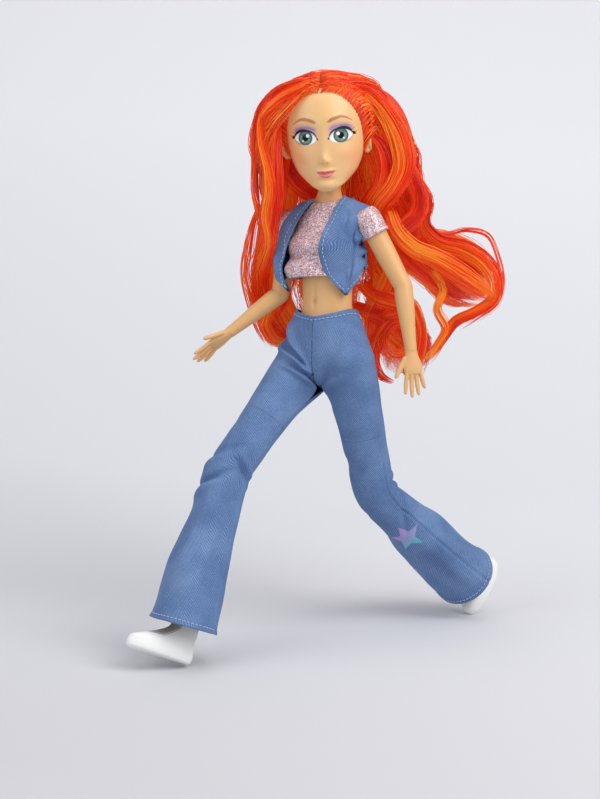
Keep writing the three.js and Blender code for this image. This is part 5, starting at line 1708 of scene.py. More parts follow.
def painted_face(x, z, front):
    """Make-up laid on the face, with a painted shadow of the upper lids on the eye whites and painted
    highlights in the eyes and on the lower lip: a colour, how much of it, and where it is glossy.
    """
    colour, amount = np.zeros(x.shape + (3,)), np.zeros(x.shape)

    def lay(mask, name):
        nonlocal colour, amount
        mask = np.clip(mask, 0, 1) * front
        colour = colour * (1 - mask[..., None]) + np.array(srgb(*PAINT[name])[:3]) * mask[..., None]
        amount = amount + (1 - amount) * mask

    a = np.abs(x)
    lay(0.3 * bell(a - 11.2, 4.6) * bell(z - 11.5, 4.2), "blush")
    # places from the eye's middle, out and up, turned with its tilt
    t = math.radians(EYE["tilt"])
    half, high, low = EYE["half"], EYE["high"], EYE["low"]
    ex = (a - EYE["out"]) * math.cos(t) + (z - EYE["up"]) * math.sin(t)
    ez = -(a - EYE["out"]) * math.sin(t) + (z - EYE["up"]) * math.cos(t)
    out = np.abs(ex)
    upper, lower = high * arch(ex, half, 0.55), -low * arch(ex, half, 0.7)
    lid = high * arch(ex, half + 1.6, 0.55)
    shade = ease(ez, lid - 1.0, lid + 0.4) * (1 - ease(ez, lid + 1.4, lid + 3.6))
    lay(0.78 * shade * (1 - ease(np.abs(ex - 0.5), 3.6, 6.6)), "lid")
    lay(0.5 * bell(ez - lid - 1.5, 0.28) * (1 - ease(out, 3.6, 5.2)), "crease")
    opening = inside(np.maximum(ez - upper, lower - ez)) * (out < half)
    lay(opening, "eye_white")
    # a painted shadow of the upper lid, greying the top of the eye white
    lay(opening * 0.45 * (1 - ease(upper - ez, 0.2, 1.5)), "painted_lid_shadow")
    reach = np.hypot(ex - 0.05, ez - 0.45)
    ring = np.arctan2(ez - 0.25, ex - 0.05)
    lay(opening * inside(reach - 3.3), "iris_rim")
    lay(opening * inside(reach - 2.9, 0.35), "iris")
    lay(opening * inside(reach - 2.3, 0.6) * (0.55 + 0.3 * np.sin(ring * 21)) * (ez < 1.2), "iris_rays")
    lay(opening * inside(reach - 1.5), "pupil")
    lay(opening * inside(np.hypot(ex + 1.0, ez - 1.5) - 0.75), "glint")
    lay(opening * inside(np.hypot(ex - 1.1, ez + 0.95) - 0.38), "glint")
    rim = np.where(out < half, ez - upper, np.hypot(out - half, ez))
    thick = 0.42 + 0.36 * ease(ex, -2, 4)
    lay(inside(np.abs(rim - thick * 0.6) - thick) * (ez > -0.35), "liner")
    lay(0.8 * inside(np.abs(ez - lower) - 0.12) * ease(ex, -1.5, 3.0) * (ex < half), "low_liner")
    for k, at in enumerate(np.linspace(0.4, half + 0.1, 8)):
        root = (at, high * arch(at, half, 0.55) + 0.2)
        lean, size = 0.35 + 0.12 * k, 1.5 + 0.16 * k
        tip = (root[0] + size * math.sin(lean), root[1] + size * math.cos(lean))
        lay(stroke(ex, ez, root, tip, 0.17, 0.03), "lash")
    for at in (2.4, 3.2, 3.9):
        root = (at, -low * arch(at, half, 0.7))
        lay(0.85 * stroke(ex, ez, root, (root[0] + 0.55, root[1] - 0.7), 0.1, 0.03), "low_lash")
    brow = curve([2.9, 5.5, 9.6, 13.8], [27.5, 28.6, 29.3, 27.2], a)
    heavy = np.interp(a, [2.9, 4.0, 8.0, 13.8], [0.4, 0.85, 0.75, 0.12])
    hairs = 0.78 + 0.22 * np.sin((a * 1.2 + z * 2.0) * 4.2)
    lay(0.9 * hairs * inside(np.abs(z - brow) - heavy, 0.22) * (a > 2.7) * (a < 13.8), "brow")
    mouth = 4.1 + 0.06 * x * x
    bow = 1.35 * arch(a, 4.3, 0.8) * (1 - 0.24 * bell(x, 0.6)) * (1 + 0.12 * bell(a - 1.1, 0.8))
    pout = 1.75 * arch(a, 4.1, 0.75)
    lips = inside(np.maximum(z - mouth - bow, mouth - pout - z)) * (a < 4.3)
    lay(lips, "lips")
    # a painted highlight, pale pink, on the middle of the lower lip
    lay(lips * 0.35 * bell(z - mouth + pout * 0.5, 0.4) * bell(x, 1.6), "painted_lip_highlight")
    lay(0.85 * inside(np.abs(z - mouth) - 0.13, 0.12) * (1 - ease(a, 3.5, 4.5)), "mouth_line")
    lay(0.45 * inside(np.hypot((a - 1.0) / 1.5, z - 8.9) - 0.25, 0.25), "nostril")
    shine = np.maximum(opening, lips * 0.8) * front
    return colour / np.maximum(amount, 1e-6)[..., None], amount, shine


EAR = dict(out=18.6, back=-0.5, up=16.5, depth=2.4, height=3.4, lobe=1.2)
# Layers of the ear and of its lobe: millimetres outward, share of the size.
EAR_DISC = [(-2.2, 0.8), (-0.5, 1.0), (0.5, 0.9), (0.75, 0.55)]
EAR_LOBE = [(-1.4, 0.7), (0.3, 1.0), (1.2, 0.6)]


def ear(side):
    sign = SIDES[side]
    x, y, z = sign * EAR["out"], EAR["back"], EAR["up"]
    wide, tall, lobe = EAR["depth"], EAR["height"], EAR["lobe"]
    turned = np.linspace(-0.9, 4.4, 30)
    rim = [[x + sign * 1.5, y + 2.3 * math.cos(t) + 0.5, z + 3.6 * math.sin(t), 0.75, 0.75] for t in turned]
    disc = [[x + sign * k, y, z, wide * s, tall * s] for k, s in EAR_DISC]
    low = [[x + sign * k, y - 0.7, z - 3.9, lobe * s, lobe * s] for k, s in EAR_LOBE]
    parts = [sweep(rim, (1, 0, 0), 40, 12), sweep(disc, (0, 1, 0), 10, 24), sweep(low, (0, 1, 0), 8, 14)]
    obj = joined_smooth(f"moulded_ear_{side}", [moved(p, HEAD_FRAME) for p in parts], 0.3, 4)
    return finish_piece(obj, FACE_PLAIN, "head")


def head():
    sides = np.linspace(78, 282, 60)[1:-1]
    psi = np.concatenate([np.linspace(-78, 78, 270), sides])
    bottom, top = HEAD_TABLE[0, 0], HEAD_TABLE[-1, 0]
    z = np.concatenate([np.linspace(bottom, 33, 235), np.linspace(33, top, 30)[1:]])
    grid = sculpted(skull(psi[None, :], z[:, None] + np.zeros((1, len(psi)))))
    x, y, height = np.moveaxis(grid, -1, 0)
    colour, amount, shine = painted_face(x, height, ease(-y, 5, 8))
    # the scalp is painted like the hair, so that none shows between the roots
    scalp = ease(height, 42, 43)[..., None]
    colour = colour * (1 - scalp) + np.array(srgb(*PAINT["scalp"])[:3]) * scalp
    tones = {"paint": colour, "painted": np.maximum(amount, scalp[..., 0]), "shine": shine}
    obj = skin_of("sculpted_head", grid, HEAD_FRAME, tones)
    finish_piece(obj, FACE, "head", ["head_shell"])
    for side in SIDES:
        ear(side)


# Hair

HAIR_MIDDLE = np.array((0, 2.5, 26.0))
HAIR_REACH = np.array((23.2, 24.0, 24.2))
# Across the hair, and out of it
BREADTH_WAY = turn((0, 0, 1), TURN + NOD / 2)[:3, 0]
WAVE_WAY = np.cross(BREADTH_WAY, (0, 0, 1))
LOCK_SHARES = {
    "right_front_lock": [
        [-0.1, -0.38, 0.86, 0.05, 0.06],
        [-0.33, -0.38, 0.8, 0.08, 0.08],
        [-0.52, -0.35, 0.61, 0.09, 0.1],
        [-0.6, -0.31, 0.32, 0.09, 0.1],
        [-0.64, -0.25, 0, 0.1, 0.1],
        [-0.67, -0.12, -0.31, 0.08, 0.1],
    ],
    "right_fall": [
        [-0.54, -0.1, 0.28, 0.15, 0.14],
        [-0.57, 0, -0.08, 0.18, 0.16],
        [-0.73, 0.14, -0.43, 0.2, 0.14],
        [-0.81, 0.18, -0.76, 0.2, 0.14],
        [-0.79, 0.2, -1.09, 0.22, 0.14],
        [-0.66, 0.24, -1.37, 0.2, 0.12],
        [-0.52, 0.28, -1.57, 0.13, 0.1],
    ],
    "left_fall": [
        [0.1, 0.18, 0.82, 0.15, 0.16],
        [0.3, 0.33, 0.65, 0.24, 0.24],
        [0.39, 0.43, 0.35, 0.27, 0.27],
        [0.41, 0.5, -0.01, 0.27, 0.27],
        [0.32, 0.57, -0.35, 0.24, 0.24],
        [0.24, 0.65, -0.6, 0.2, 0.18],
    ],
    "swept_lock": [
        [0.31, 0.75, -0.47, 0.18, 0.14],
        [0.49, 0.91, -0.59, 0.27, 0.16],
        [0.69, 1.08, -0.73, 0.35, 0.18],
        [0.86, 1.21, -0.88, 0.31, 0.16],
        [0.99, 1.29, -0.97, 0.16, 0.1],
    ],
    "left_curls": [
        [0.2, 0.71, -0.67, 0.16, 0.16],
        [0.18, 0.75, -0.99, 0.18, 0.16],
        [0.24, 0.81, -1.3, 0.26, 0.16],
        [0.36, 0.83, -1.55, 0.24, 0.14],
        [0.37, 0.79, -1.76, 0.15, 0.1],
    ],
    "back_fall": [
        [-0.2, 0.34, 0.66, 0.34, 0.18],
        [-0.22, 0.44, 0.3, 0.4, 0.2],
        [-0.23, 0.48, -0.1, 0.42, 0.2],
        [-0.26, 0.48, -0.5, 0.4, 0.19],
        [-0.27, 0.46, -0.88, 0.36, 0.18],
        [-0.26, 0.48, -1.2, 0.28, 0.15],
        [-0.22, 0.5, -1.48, 0.14, 0.08],
    ],
}
# Degrees from the front and the hairline's height there
HAIRLINE = [
    [0, 40.5], [18, 40], [34, 37.5], [50, 32.5], [62, 26.5], [72, 19.5],
    [82, 13], [95, 10], [112, 5], [140, 0.5], [180, -1.5],
]
# The locks a root may feed, each with the parts that its fibres run through.
ROUTES = {
    "front_right": [("right_front_lock", 0, 5), ("right_fall", 2, 7)],
    "side_right": [("right_fall", 0, 7)],
    "swept": [("left_fall", 0, 4), ("swept_lock", 0, 5)],
    "curls": [("left_fall", 0, 6), ("left_curls", 1, 5)],
    "back": [("back_fall", 0, 7)],
}
# A route's waves: how wide they swing and how long they are.
WAVES = dict(front_right=(1.0, 46), side_right=(1.3, 38), swept=(2.4, 50), curls=(3.4, 27), back=(2.0, 34))
# How full the soft shape below each lock is, at its root and at its tip.
UNDERHAIR = {
    "right_front_lock": (0.2, 0.2),
    "right_fall": (0.8, 0.3),
    "left_fall": (0.8, 0.7),
    "swept_lock": (0.75, 0.3),
    "left_curls": (0.65, 0.12),
    "back_fall": (0.85, 0.4),
}
FIBRE = dict(radius=0.15, steps=34, sides=3)
# A fibre's thickness at its tip
FIBRE_TIP = [0.95, 0.8, 0.55, 0.25]
MOST_FIBRES = 990
CLUMPS = 30
# Rooting: rows along the hairline with millimetres and degrees between holes, degrees along the parting,
# holes over the scalp, and the fibres of a hole in the first two rows, the others, the parting, the scalp
HAIRLINE_ROWS = dict(count=5, apart=1.2, reach=86, step=3.2, shift=1.6)
PARTING = dict(start=-44, end=50, step=2.4, half_gap=0.012)
SCALP_HOLES = 180
PLUGS = dict(edge=11, line=6, parting=14, scalp=4)
FULL_TURN = 6.28
# By the kind of its root, how far out a fibre lies on the head and how much it is combed to the whorl
ROOT_LIFT = {"parting": 1.005, "line": 0.995, "scalp": 0.985}
ROOT_COMB = {"parting": 0.05, "line": 0.62, "scalp": 0.2}
# Where fibres lie across their route: share of breadth and depth, and shift.
ROUTE_SPREAD = {"front_right": ((0.45, 1), (0.75, 0)), "side_right": ((0.7, 1), (0.3, 0))}
# Drift and unevenness of a fibre that hangs loose, and of the others
LOOSE_FALL, FALL = (1.2, 0.2), (0.3, 0.05)
LOOSE_LOCK, LOCK = (1.0, 0.2), (0.3, 0.06)
FIBRE_PIECES = {
    "front_right": "fibres_right_front",
    "side_right": "fibres_right_fall",
    "swept": "fibres_swept",
    "curls": "fibres_left_curls",
    "back": "fibres_back",
    "locks": "fibres_locks",
}
# Separate locks: name, number of fibres and tone, then places as the camera sees them from the neck pin:
# millimetres across, up and towards the camera, and half breadth.
WISPS = {
    ("outer_strand", 34, 0.45): [
        [-6, 47, 16, 1], [-16, 46, 17, 1.5], [-26, 42, 16, 1], [-33, 34, 14, 1],
        [-35.5, 23, 12, 1], [-35.5, 8, 10, 1], [-35.5, -6, 8, 1], [-33, -15, 7, 1.5],
        [-31, -25, 4, 2], [-34, -35, -6, 2], [-37, -45, -18, 2],
    ],
    ("front_twist", 110, 0.62): [
        [-5, 47, 17, 1.5], [-14, 43, 18, 2.5], [-24, 38, 17, 2], [-32, 29, 15, 1.5],
        [-32, 17, 14, 2], [-29, 5, 13, 2.5], [-28, -6, 11, 3.5], [-30, -16, 9, 3],
        [-28, -28, 5, 3], [-30, -37, -6, 3.5], [-32, -46, -20, 3.5], [-28, -60, -24, 3.5],
        [-21, -72, -23, 2.5],
    ],
    ("shoulder_fall", 150, 0.4): [
        [-24, 26, 9, 1.5], [-25, 16, 10, 2.5], [-25, 5, 11, 3], [-25, -6, 11, 3.5],
        [-26, -16, 9, 3], [-28, -26, 5, 4], [-31, -36, -6, 4], [-33, -45, -19, 4],
        [-32, -56, -24, 4], [-27, -67, -24, 4], [-20, -73, -23, 2.5],
    ],
    ("sheer_fall", 44, 0.5): [
        [-33, -12, 4, 1], [-36, -22, 1, 2], [-38, -33, -4, 3], [-39, -45, -16, 3],
        [-36, -57, -22, 3.5], [-32, -69, -23, 3], [-27, -78, -22, 2],
    ],
    ("lower_turn", 70, 0.75): [
        [-23, -51, -22, 2], [-28, -60, -22, 3], [-30, -68, -21, 3.5], [-26, -74, -21, 3],
        [-19, -76, -21, 1.5],
    ],
    ("crown_sweep", 170, 0.6): [
        [-4, 47, 13, 1.5], [6, 46, 12, 3], [18, 40, 9, 4.5], [28, 28, 9, 6],
        [33, 16, 9, 6.5], [34, 6, 9, 6], [30, -3, 9, 5], [23, -12, 4, 4.5],
        [21, -22, -4, 3.5],
    ],
    ("face_side", 120, 0.3): [
        [18, 23, 7, 1.5], [24, 16, 8, 3], [26, 7, 8, 4], [24, -3, 5, 4.5],
        [18, -11, 0, 4], [15, -21, -6, 3.5],
    ],
    ("roll", 120, 0.34): [
        [33, 9, 6, 4], [39, 0, 7, 4.5], [42, -8, 6, 4], [41, -16, 6, 4],
        [35, -22, 5, 4], [32, -28, 4, 4.5], [37, -36, 4, 4.5], [47, -44, 3, 4.5],
        [58, -52, 3, 3.5], [67, -57, 2, 2],
    ],
    ("bright_streak", 150, 0.74): [
        [28, -14, 4, 3], [31, -23, 6, 4], [38, -31, 7, 4.5], [50, -37, 7, 5],
        [62, -45, 7, 5.5], [72, -52, 5, 4], [77, -55, 3, 2],
    ],
    ("swept_top", 120, 0.5): [
        [40, 0, 2, 3], [45, -10, 1, 3.5], [43, -19, -1, 3.5], [50, -28, -3, 4],
        [63, -32, -3, 5], [72, -38, -2, 5], [77, -47, 0, 4.5], [76, -55, 1, 3],
        [68, -61, 2, 2.5], [58, -66, 2, 2.5], [52, -75, 2, 2], [44, -84, 1, 2],
    ],
    ("swept_edge", 22, 0.45): [
        [42, -18, -2, 1], [52, -25, -5, 1], [64, -23, -6, 1], [73, -25, -6, 1.5],
        [78, -35, -4, 1.5], [80, -47, -2, 1.5], [78, -56, 0, 1.5], [68, -64, 1, 1.5],
        [60, -69, 1, 1.5],
    ],
    ("inner_band", 60, 0.8): [
        [47, -41, 4, 3], [53, -51, 4, 2.5], [50, -60, 4, 2], [54, -69, 4, 2],
        [50, -77, 3, 2], [44, -85, 2, 1.5],
    ],
    ("hip_lock", 110, 0.6): [
        [14, -47, -8, 3], [20, -53, -6, 3.5], [30, -56, -4, 4], [38, -58, -3, 3],
        [42, -65, -3, 2], [43, -75, -3, 2], [40, -85, -3, 2], [33, -90, -4, 1.5],
    ],
    ("hip_curl", 90, 0.35): [
        [10, -58, -10, 3], [19, -62, -8, 4], [26, -66, -7, 3.5], [22, -74, -7, 3.5],
        [20, -83, -7, 3], [24, -91, -6, 2], [30, -94, -6, 1],
    ],
    ("loop", 24, 0.55): [
        [23, -63, -5, 2], [33, -61, -4, 3], [41, -68, -4, 3], [39, -78, -4, 3],
        [30, -81, -5, 3], [25, -74, -5, 2.5], [30, -66, -5, 2.5], [40, -71, -5, 2],
    ],
    ("arm_side", 80, 0.6): [
        [18, -14, -6, 3.5], [24, -28, -7, 3.5], [28, -38, -8, 3.5], [26, -47, -8, 3.5],
        [22, -55, -8, 3.5], [18, -63, -9, 3.5], [18, -72, -9, 3], [23, -82, -8, 2],
    ],
    ("waist_side", 60, 0.4): [
        [-20, -34, -15, 2.5], [-18, -43, -17, 3], [-20, -52, -19, 3], [-24, -62, -21, 2.5],
    ],
    # the locks behind the neck and the cheek are given dark tones as painted shade
    ("behind_neck", 260, 0.22): [
        [-26, 18, -6, 4], [-22, 10, -8, 5], [-18, 3, -10, 5], [-13, -3, -13, 4.5],
        [-6, -8, -14, 4],
    ],
    ("behind_cheek", 160, 0.25): [
        [-22, 12, -4, 4], [-24, 2, -5, 4.5], [-24, -8, -6, 4], [-26, -18, -8, 3],
    ],
}


def seen_places(rows):
    """Places in the doll's frame of points given as the camera sees them from the neck pin."""
    rows = np.asarray(rows, float)
    back, right, up = camera_ways()
    pin = joint_at["neck_nod"]
    aim = camera_aim()
    flat = np.array(((pin - aim) @ right, (pin - aim) @ up))
    near = (CAMERA["distance"] - (pin - aim) @ back) / CAMERA["distance"]
    toward = (pin - aim) @ back + rows[:, 2]
    shrink = (CAMERA["distance"] - toward) / CAMERA["distance"]
    places = aim + ((flat[0] / near + rows[:, 0]) * shrink)[:, None] * right
    places = places + ((flat[1] / near + rows[:, 1]) * shrink)[:, None] * up + toward[:, None] * back
    return moved(places, np.linalg.inv(WORLD))


def lock_stations(name):
    table = np.array(LOCK_SHARES[name]) * HEAD["height"]
    table[:, 2] += TORSO["height"]
    return table


def route_stations(route):
    return np.concatenate([lock_stations(name)[a:b] for name, a, b in ROUTES[route]])


def hairline_height(psi):
    line = np.array(HAIRLINE)
    return curve(line[:, 0], line[:, 1], np.abs(psi))


def slerp(a, b, t):
    """Between two directions; each may be a row per step."""
    cosine = np.clip((a * b).sum(-1, keepdims=True), -1, 1)
    angle = np.maximum(np.arccos(cosine), 1e-4)
    t = t[:, None]
    return unit((np.sin((1 - t) * angle) * a + np.sin(t * angle) * b) / np.sin(angle))


def crown_way(root, goal, lift, comb):
    """A fibre's way over the head, in the head's frame, from its root to where it joins a lock."""
    a, b = (root - HAIR_MIDDLE) / HAIR_REACH, (goal - HAIR_MIDDLE) / HAIR_REACH
    ra, rb = np.linalg.norm(a), np.linalg.norm(b)
    a, b = a / ra, b / rb
    whorl = unit((math.copysign(0.22, goal[0]), 0.15, 1.0))
    control = unit(unit(a + (whorl - a) * comb) * 0.7 + b * 0.3)
    t = np.array([0, 0.05, 0.12, 0.22, 0.34, 0.48, 0.64, 0.82])
    way = slerp(slerp(a[None], control[None], t), slerp(control[None], b[None], t), t)
    reach = ra + (lift - ra) * ease(t, 0, 0.28) + (rb - lift) * ease(t, 0.4, 1)
    return HAIR_MIDDLE + way * reach[:, None] * HAIR_REACH


def plug_roots():
    """Rooting holes: rows along the hairline, both sides of the parting, and spread over the scalp."""
    roots, rows = [], HAIRLINE_ROWS
    for row in range(rows["count"]):
        for psi in np.arange(-rows["reach"] + row * rows["shift"], rows["reach"], rows["step"]):
            at = skull(np.array(psi), np.array(hairline_height(psi) + row * rows["apart"]))
            roots.append((at, "line", PLUGS["edge"] if row < 2 else PLUGS["line"]))
    for sign in (-1, 1):
        for tilt in np.arange(PARTING["start"], PARTING["end"], PARTING["step"]):
            t = math.radians(tilt)
            way = np.array((sign * PARTING["half_gap"], math.sin(t), math.cos(t)))
            roots.append((HAIR_MIDDLE + way * HAIR_REACH * 0.965, "parting", PLUGS["parting"]))
    count = len(roots) + SCALP_HOLES
    while len(roots) < count:
        at = HAIR_MIDDLE + unit(rng.normal(size=3)) * HAIR_REACH * 0.84
        psi = math.degrees(math.atan2(at[0], -at[1]))
        if at[2] > hairline_height(psi) + 3:
            roots.append((at, "scalp", PLUGS["scalp"]))
    return roots


def route_of(root, kind):
    psi = math.degrees(math.atan2(root[0], -root[1]))
    pick = rng.random()
    if kind == "parting":
        if root[0] > 0:
            return "swept" if pick < 0.55 else "curls"
        if root[1] < 4:
            return "front_right" if pick < 0.5 else "side_right"
        return "side_right" if pick < 0.5 else "back"
    if psi > 0:
        if psi > 105:
            return "back" if pick < 0.45 else "curls"
        return "swept" if pick < 0.58 else "curls"
    if psi < -105:
        return "back"
    if psi > -38 and kind == "line":
        return "front_right" if pick < 0.75 else "side_right"
    return "side_right" if pick < 0.85 else "back"


def loosened(path, drift, fine):
    """A fibre with its own slow drift and a little fine unevenness."""
    run = run_of(path)
    phase = rng.random(6) * FULL_TURN
    slow = np.stack([np.sin(run / (23 + 6 * j) + phase[j]) for j in range(3)], axis=-1)
    quick = np.stack([np.sin(run / (6 + 2 * j) + phase[j + 3]) for j in range(3)], axis=-1)
    return path + (slow * drift + quick * fine) * ease(run, 2, 26)[:, None]


def route_frame(route):
    """Stations of a route, with the ways across it and out of it."""
    table = route_stations(route)
    along = unit(np.gradient(table[:, :3], axis=0))
    across = unit(BREADTH_WAY - along * (along @ BREADTH_WAY)[:, None])
    return table, across, np.cross(along, across)


def clumped():
    """Middles of a route's clumps across it, and their shades."""
    spots = rng.normal(size=(CLUMPS, 2))
    spots *= (np.sqrt(rng.random(CLUMPS)) * 0.9 / np.linalg.norm(spots, axis=1))[:, None]
    return spots, rng.random(CLUMPS)


def spread(route, kind):
    """A fibre's own place across its route."""
    own = unit(rng.normal(size=2)) * math.sqrt(rng.random()) * 0.95
    if kind == "line":
        own = own * (1, 0.4) + (0, 0.5)
    share, moved_by = ROUTE_SPREAD.get(route, ((1, 1), (0, 0)))
    return own * share + moved_by


def rooted_fibre(root, kind, route, frame, clumps):
    """A fibre's path and tones, from its root over the head and down its route."""
    (table, across, deep), (spots, shades) = frame, clumps
    own = spread(route, kind)
    k = int(np.argmin(np.linalg.norm(spots - own, axis=1)))
    pull = np.linspace(0.15, 0.5, len(table))[:, None]
    places = own[None] * (1 - pull) + spots[k][None] * pull
    if route in ("swept", "curls"):
        # close to the head the hair lies flatter
        lead = np.clip(1 - np.arange(len(table)) / 4, 0, 1)[:, None]
        places = places * (1 - 0.25 * lead) - lead * (0.25, 0)
    points = table[:, :3] + across * (table[:, 3:4] * places[:, :1]) + deep * (table[:, 4:] * places[:, 1:])
    first = int(np.argmin(np.linalg.norm(points - moved(root[None], HEAD_FRAME)[0], axis=1)))
    join = min(first + 1, len(points) - 3) if kind != "scalp" else max(first, 1)
    goal = moved(points[join][None], np.linalg.inv(HEAD_FRAME))[0]
    lift = ROOT_LIFT[kind] + rng.normal(0, 0.013)
    way = crown_way(root + rng.normal(0, 0.14, 3), goal, lift, ROOT_COMB[kind])
    path = resampled(np.concatenate([moved(way, HEAD_FRAME), points[join:]]), FIBRE["steps"])
    run = run_of(path)
    amplitude, length = WAVES[route]
    own_beat = 0.5 * shades[k] * FULL_TURN if route == "curls" else 0
    beat = 2 * math.pi * run / length + 1.2 * places[0, 0] + own_beat
    grow = (ease(run, 24, 80) * amplitude)[:, None]
    path = path + BREADTH_WAY * grow * np.sin(beat)[:, None] + WAVE_WAY * grow * 0.8 * np.cos(beat)[:, None]
    path = loosened(path, *(LOOSE_FALL if rng.random() < 0.035 else FALL))
    path = trimmed(path, 0, rng.uniform(0.88, 1.0))
    tone = 0.08 + 0.76 * shades[k] + rng.normal(0, 0.12)
    return path, tone + 0.06 * np.sin(run / 17 + shades[k] * 9)


def lock_fibres(count, tone, rows):
    """Paths and tones of a separate lock's fibres, which wind round its middle."""
    rows = np.array(rows)
    stations = np.column_stack([seen_places(rows), rows[:, 3], rows[:, 3] * 0.6])
    stations = resampled(stations, FIBRE["steps"])
    along = unit(np.gradient(stations[:, :3], axis=0))
    across = unit(np.cross(along, towards_camera()))
    deep = np.cross(along, across)
    twist = rng.uniform(-1.6, 1.6)
    shimmer = 0.1 * np.sin(np.linspace(0, 9, FIBRE["steps"]) + 6 * tone)
    for _ in range(count):
        first = rng.random() * FULL_TURN
        bearing = first + np.linspace(0, twist + rng.normal(0, 0.5), len(stations))[:, None]
        away = rng.random() ** 0.6
        path = stations[:, :3] + across * stations[:, 3:4] * away * np.cos(bearing)
        path = path + deep * stations[:, 4:5] * away * np.sin(bearing)
        path = loosened(path, *(LOOSE_LOCK if rng.random() < 0.08 else LOCK))
        path = trimmed(path, rng.uniform(0, 0.04), rng.uniform(0.86, 1.0))
        yield path, tone + 0.22 * math.sin(2.2 * first + 5 * tone) + rng.normal(0, 0.12) + shimmer


def fibres():
    """Paths of all fibres with their tones and kinds."""
    frames = {route: route_frame(route) for route in ROUTES}
    clumps = {route: clumped() for route in ROUTES}
    made = []
    for root, kind, count in plug_roots():
        for _ in range(count):
            route = route_of(root, kind)
            made.append((*rooted_fibre(root, kind, route, frames[route], clumps[route]), route))
    for (_, count, tone), rows in WISPS.items():
        made += [(*fibre, "locks") for fibre in lock_fibres(count, tone, rows)]
    paths, tones, kinds = zip(*made)
    return np.array(paths), np.clip(np.array(tones), 0, 1), np.array(kinds)


def fibre_piece(name, lines, tone):
    steps, sides, count = FIBRE["steps"], FIBRE["sides"], len(lines)
    taper = np.concatenate([[0.7], np.ones(steps - 1 - len(FIBRE_TIP)), FIBRE_TIP])
    size = FIBRE["radius"] * taper[None] * rng.uniform(0.85, 1.15, (count, 1))
    points, faces, caps, rr, cc = tubes(lines, size, sides)
    # each fibre has a strip of its own in the OFBake map
    u = (np.arange(count)[:, None, None] + 0.08 + cc[None] / sides * 0.8) / count
    v = np.broadcast_to(0.01 + 0.97 * rr[None] / (steps - 1), u.shape)
    body_map = np.stack([u, v], axis=-1).reshape(-1, 2)
    cap_map = np.tile([[0.9, 0.992], [0.96, 0.992], [0.93, 0.998]], (len(caps), 1))
    cap_map[:, 0] = (np.repeat(np.tile(np.arange(count), 2), 3) + cap_map[:, 0]) / count
    maps = {"OFBake": np.concatenate([body_map, cap_map])}
    obj = mesh_piece(name, points, faces + [caps], maps, {"tone": np.repeat(tone.ravel(), sides)})
    finish_piece(obj, HAIR, "head")


def underhair(name):
    """The soft shape of a lock below its fibres, in streaks, darker than the fibres as painted shade."""
    rows, columns = 60, 150
    table = lock_stations(name)
    table[:, 3:] *= np.linspace(*UNDERHAIR[name], len(table))[:, None]
    table[-1, 3:] *= 0.1
    streak = rng.random(columns)
    grid = sweep(table, BREADTH_WAY, rows, columns)
    middle = grid.mean(axis=1, keepdims=True)
    grid = middle + (grid - middle) * (1 + 0.05 * (streak[None, :, None] - 0.5))
    obj = skin_of(f"underhair_{name}", grid, tones={"tone": np.repeat(streak[None], rows, axis=0)})
    finish_piece(obj, SHADED_HAIR_UNDER, "head", [f"hair_{name}"])


def underhair_crown():
    """A cap from the hairline up to the crown, with a groove at the parting."""
    rows, columns = 34, 240
    psi = np.linspace(-180, 180, columns + 1)[:-1]
    edge = skull(psi, hairline_height(psi) + 0.6)
    climb = np.linspace(0, 1, rows)[:, None]
    start = np.arcsin(unit((edge - HAIR_MIDDLE) / HAIR_REACH)[:, 2])[None]
    rise = start + (math.pi / 2 - start) * climb
    level = np.radians(psi - 90)[None]
    ways = np.stack([np.cos(rise) * np.cos(level), np.cos(rise) * np.sin(level), np.sin(rise)], axis=-1)
    shell = HAIR_MIDDLE + ways * HAIR_REACH * 0.962
    share = ease(climb, 0, 0.3)[..., None]
    grid = edge[None] * (1 - share) + shell * share
    grid[..., 2] -= 0.25 * bell(grid[..., 0], 0.7) * ease(grid[..., 2], 36, 44) * (grid[..., 1] < 14)
    tone = np.repeat(rng.random(columns)[None], rows, axis=0)
    obj = skin_of("underhair_crown", grid, HEAD_FRAME, {"tone": tone})
    finish_piece(obj, SHADED_HAIR_UNDER, "head", ["hair_crown"])


def hair():
    paths, tones, kinds = fibres()
    for kind, name in FIBRE_PIECES.items():
        index = np.flatnonzero(kinds == kind)
        parts = np.array_split(index, max(1, math.ceil(len(index) / MOST_FIBRES)))
        for part, chosen in enumerate(parts):
            fibre_piece(f"{name}_{part + 1}", paths[chosen], tones[chosen])
    for name in LOCK_SHARES:
        underhair(name)
    underhair_crown()


# Stage


def show(data):
    """A scene object for a mesh, a lamp or a camera."""
    obj = bpy.data.objects.new(data.name, data)
    bpy.context.scene.collection.objects.link(obj)
    return obj


# The paper's tones from its near end up to its top: darker near and lighter up the wall, as painted shade and
# light
PAPER_SHADE_STOPS = [
    (0.0, (194, 193, 197)),
    (0.2, (205, 205, 209)),
    (0.33, (228, 230, 234)),
    (0.7, (247, 247, 250)),
    (1.0, (247, 247, 250)),
]
# The paper in metres: its level part, the bend's start, radius and steps, the wall above, half width
PAPER = dict(level=(-2.6, -1.2, -0.5), bend=0.3, radius=0.9, steps=24, wall=(1.6, 3.2), half_width=3.5)
SENSOR = 36


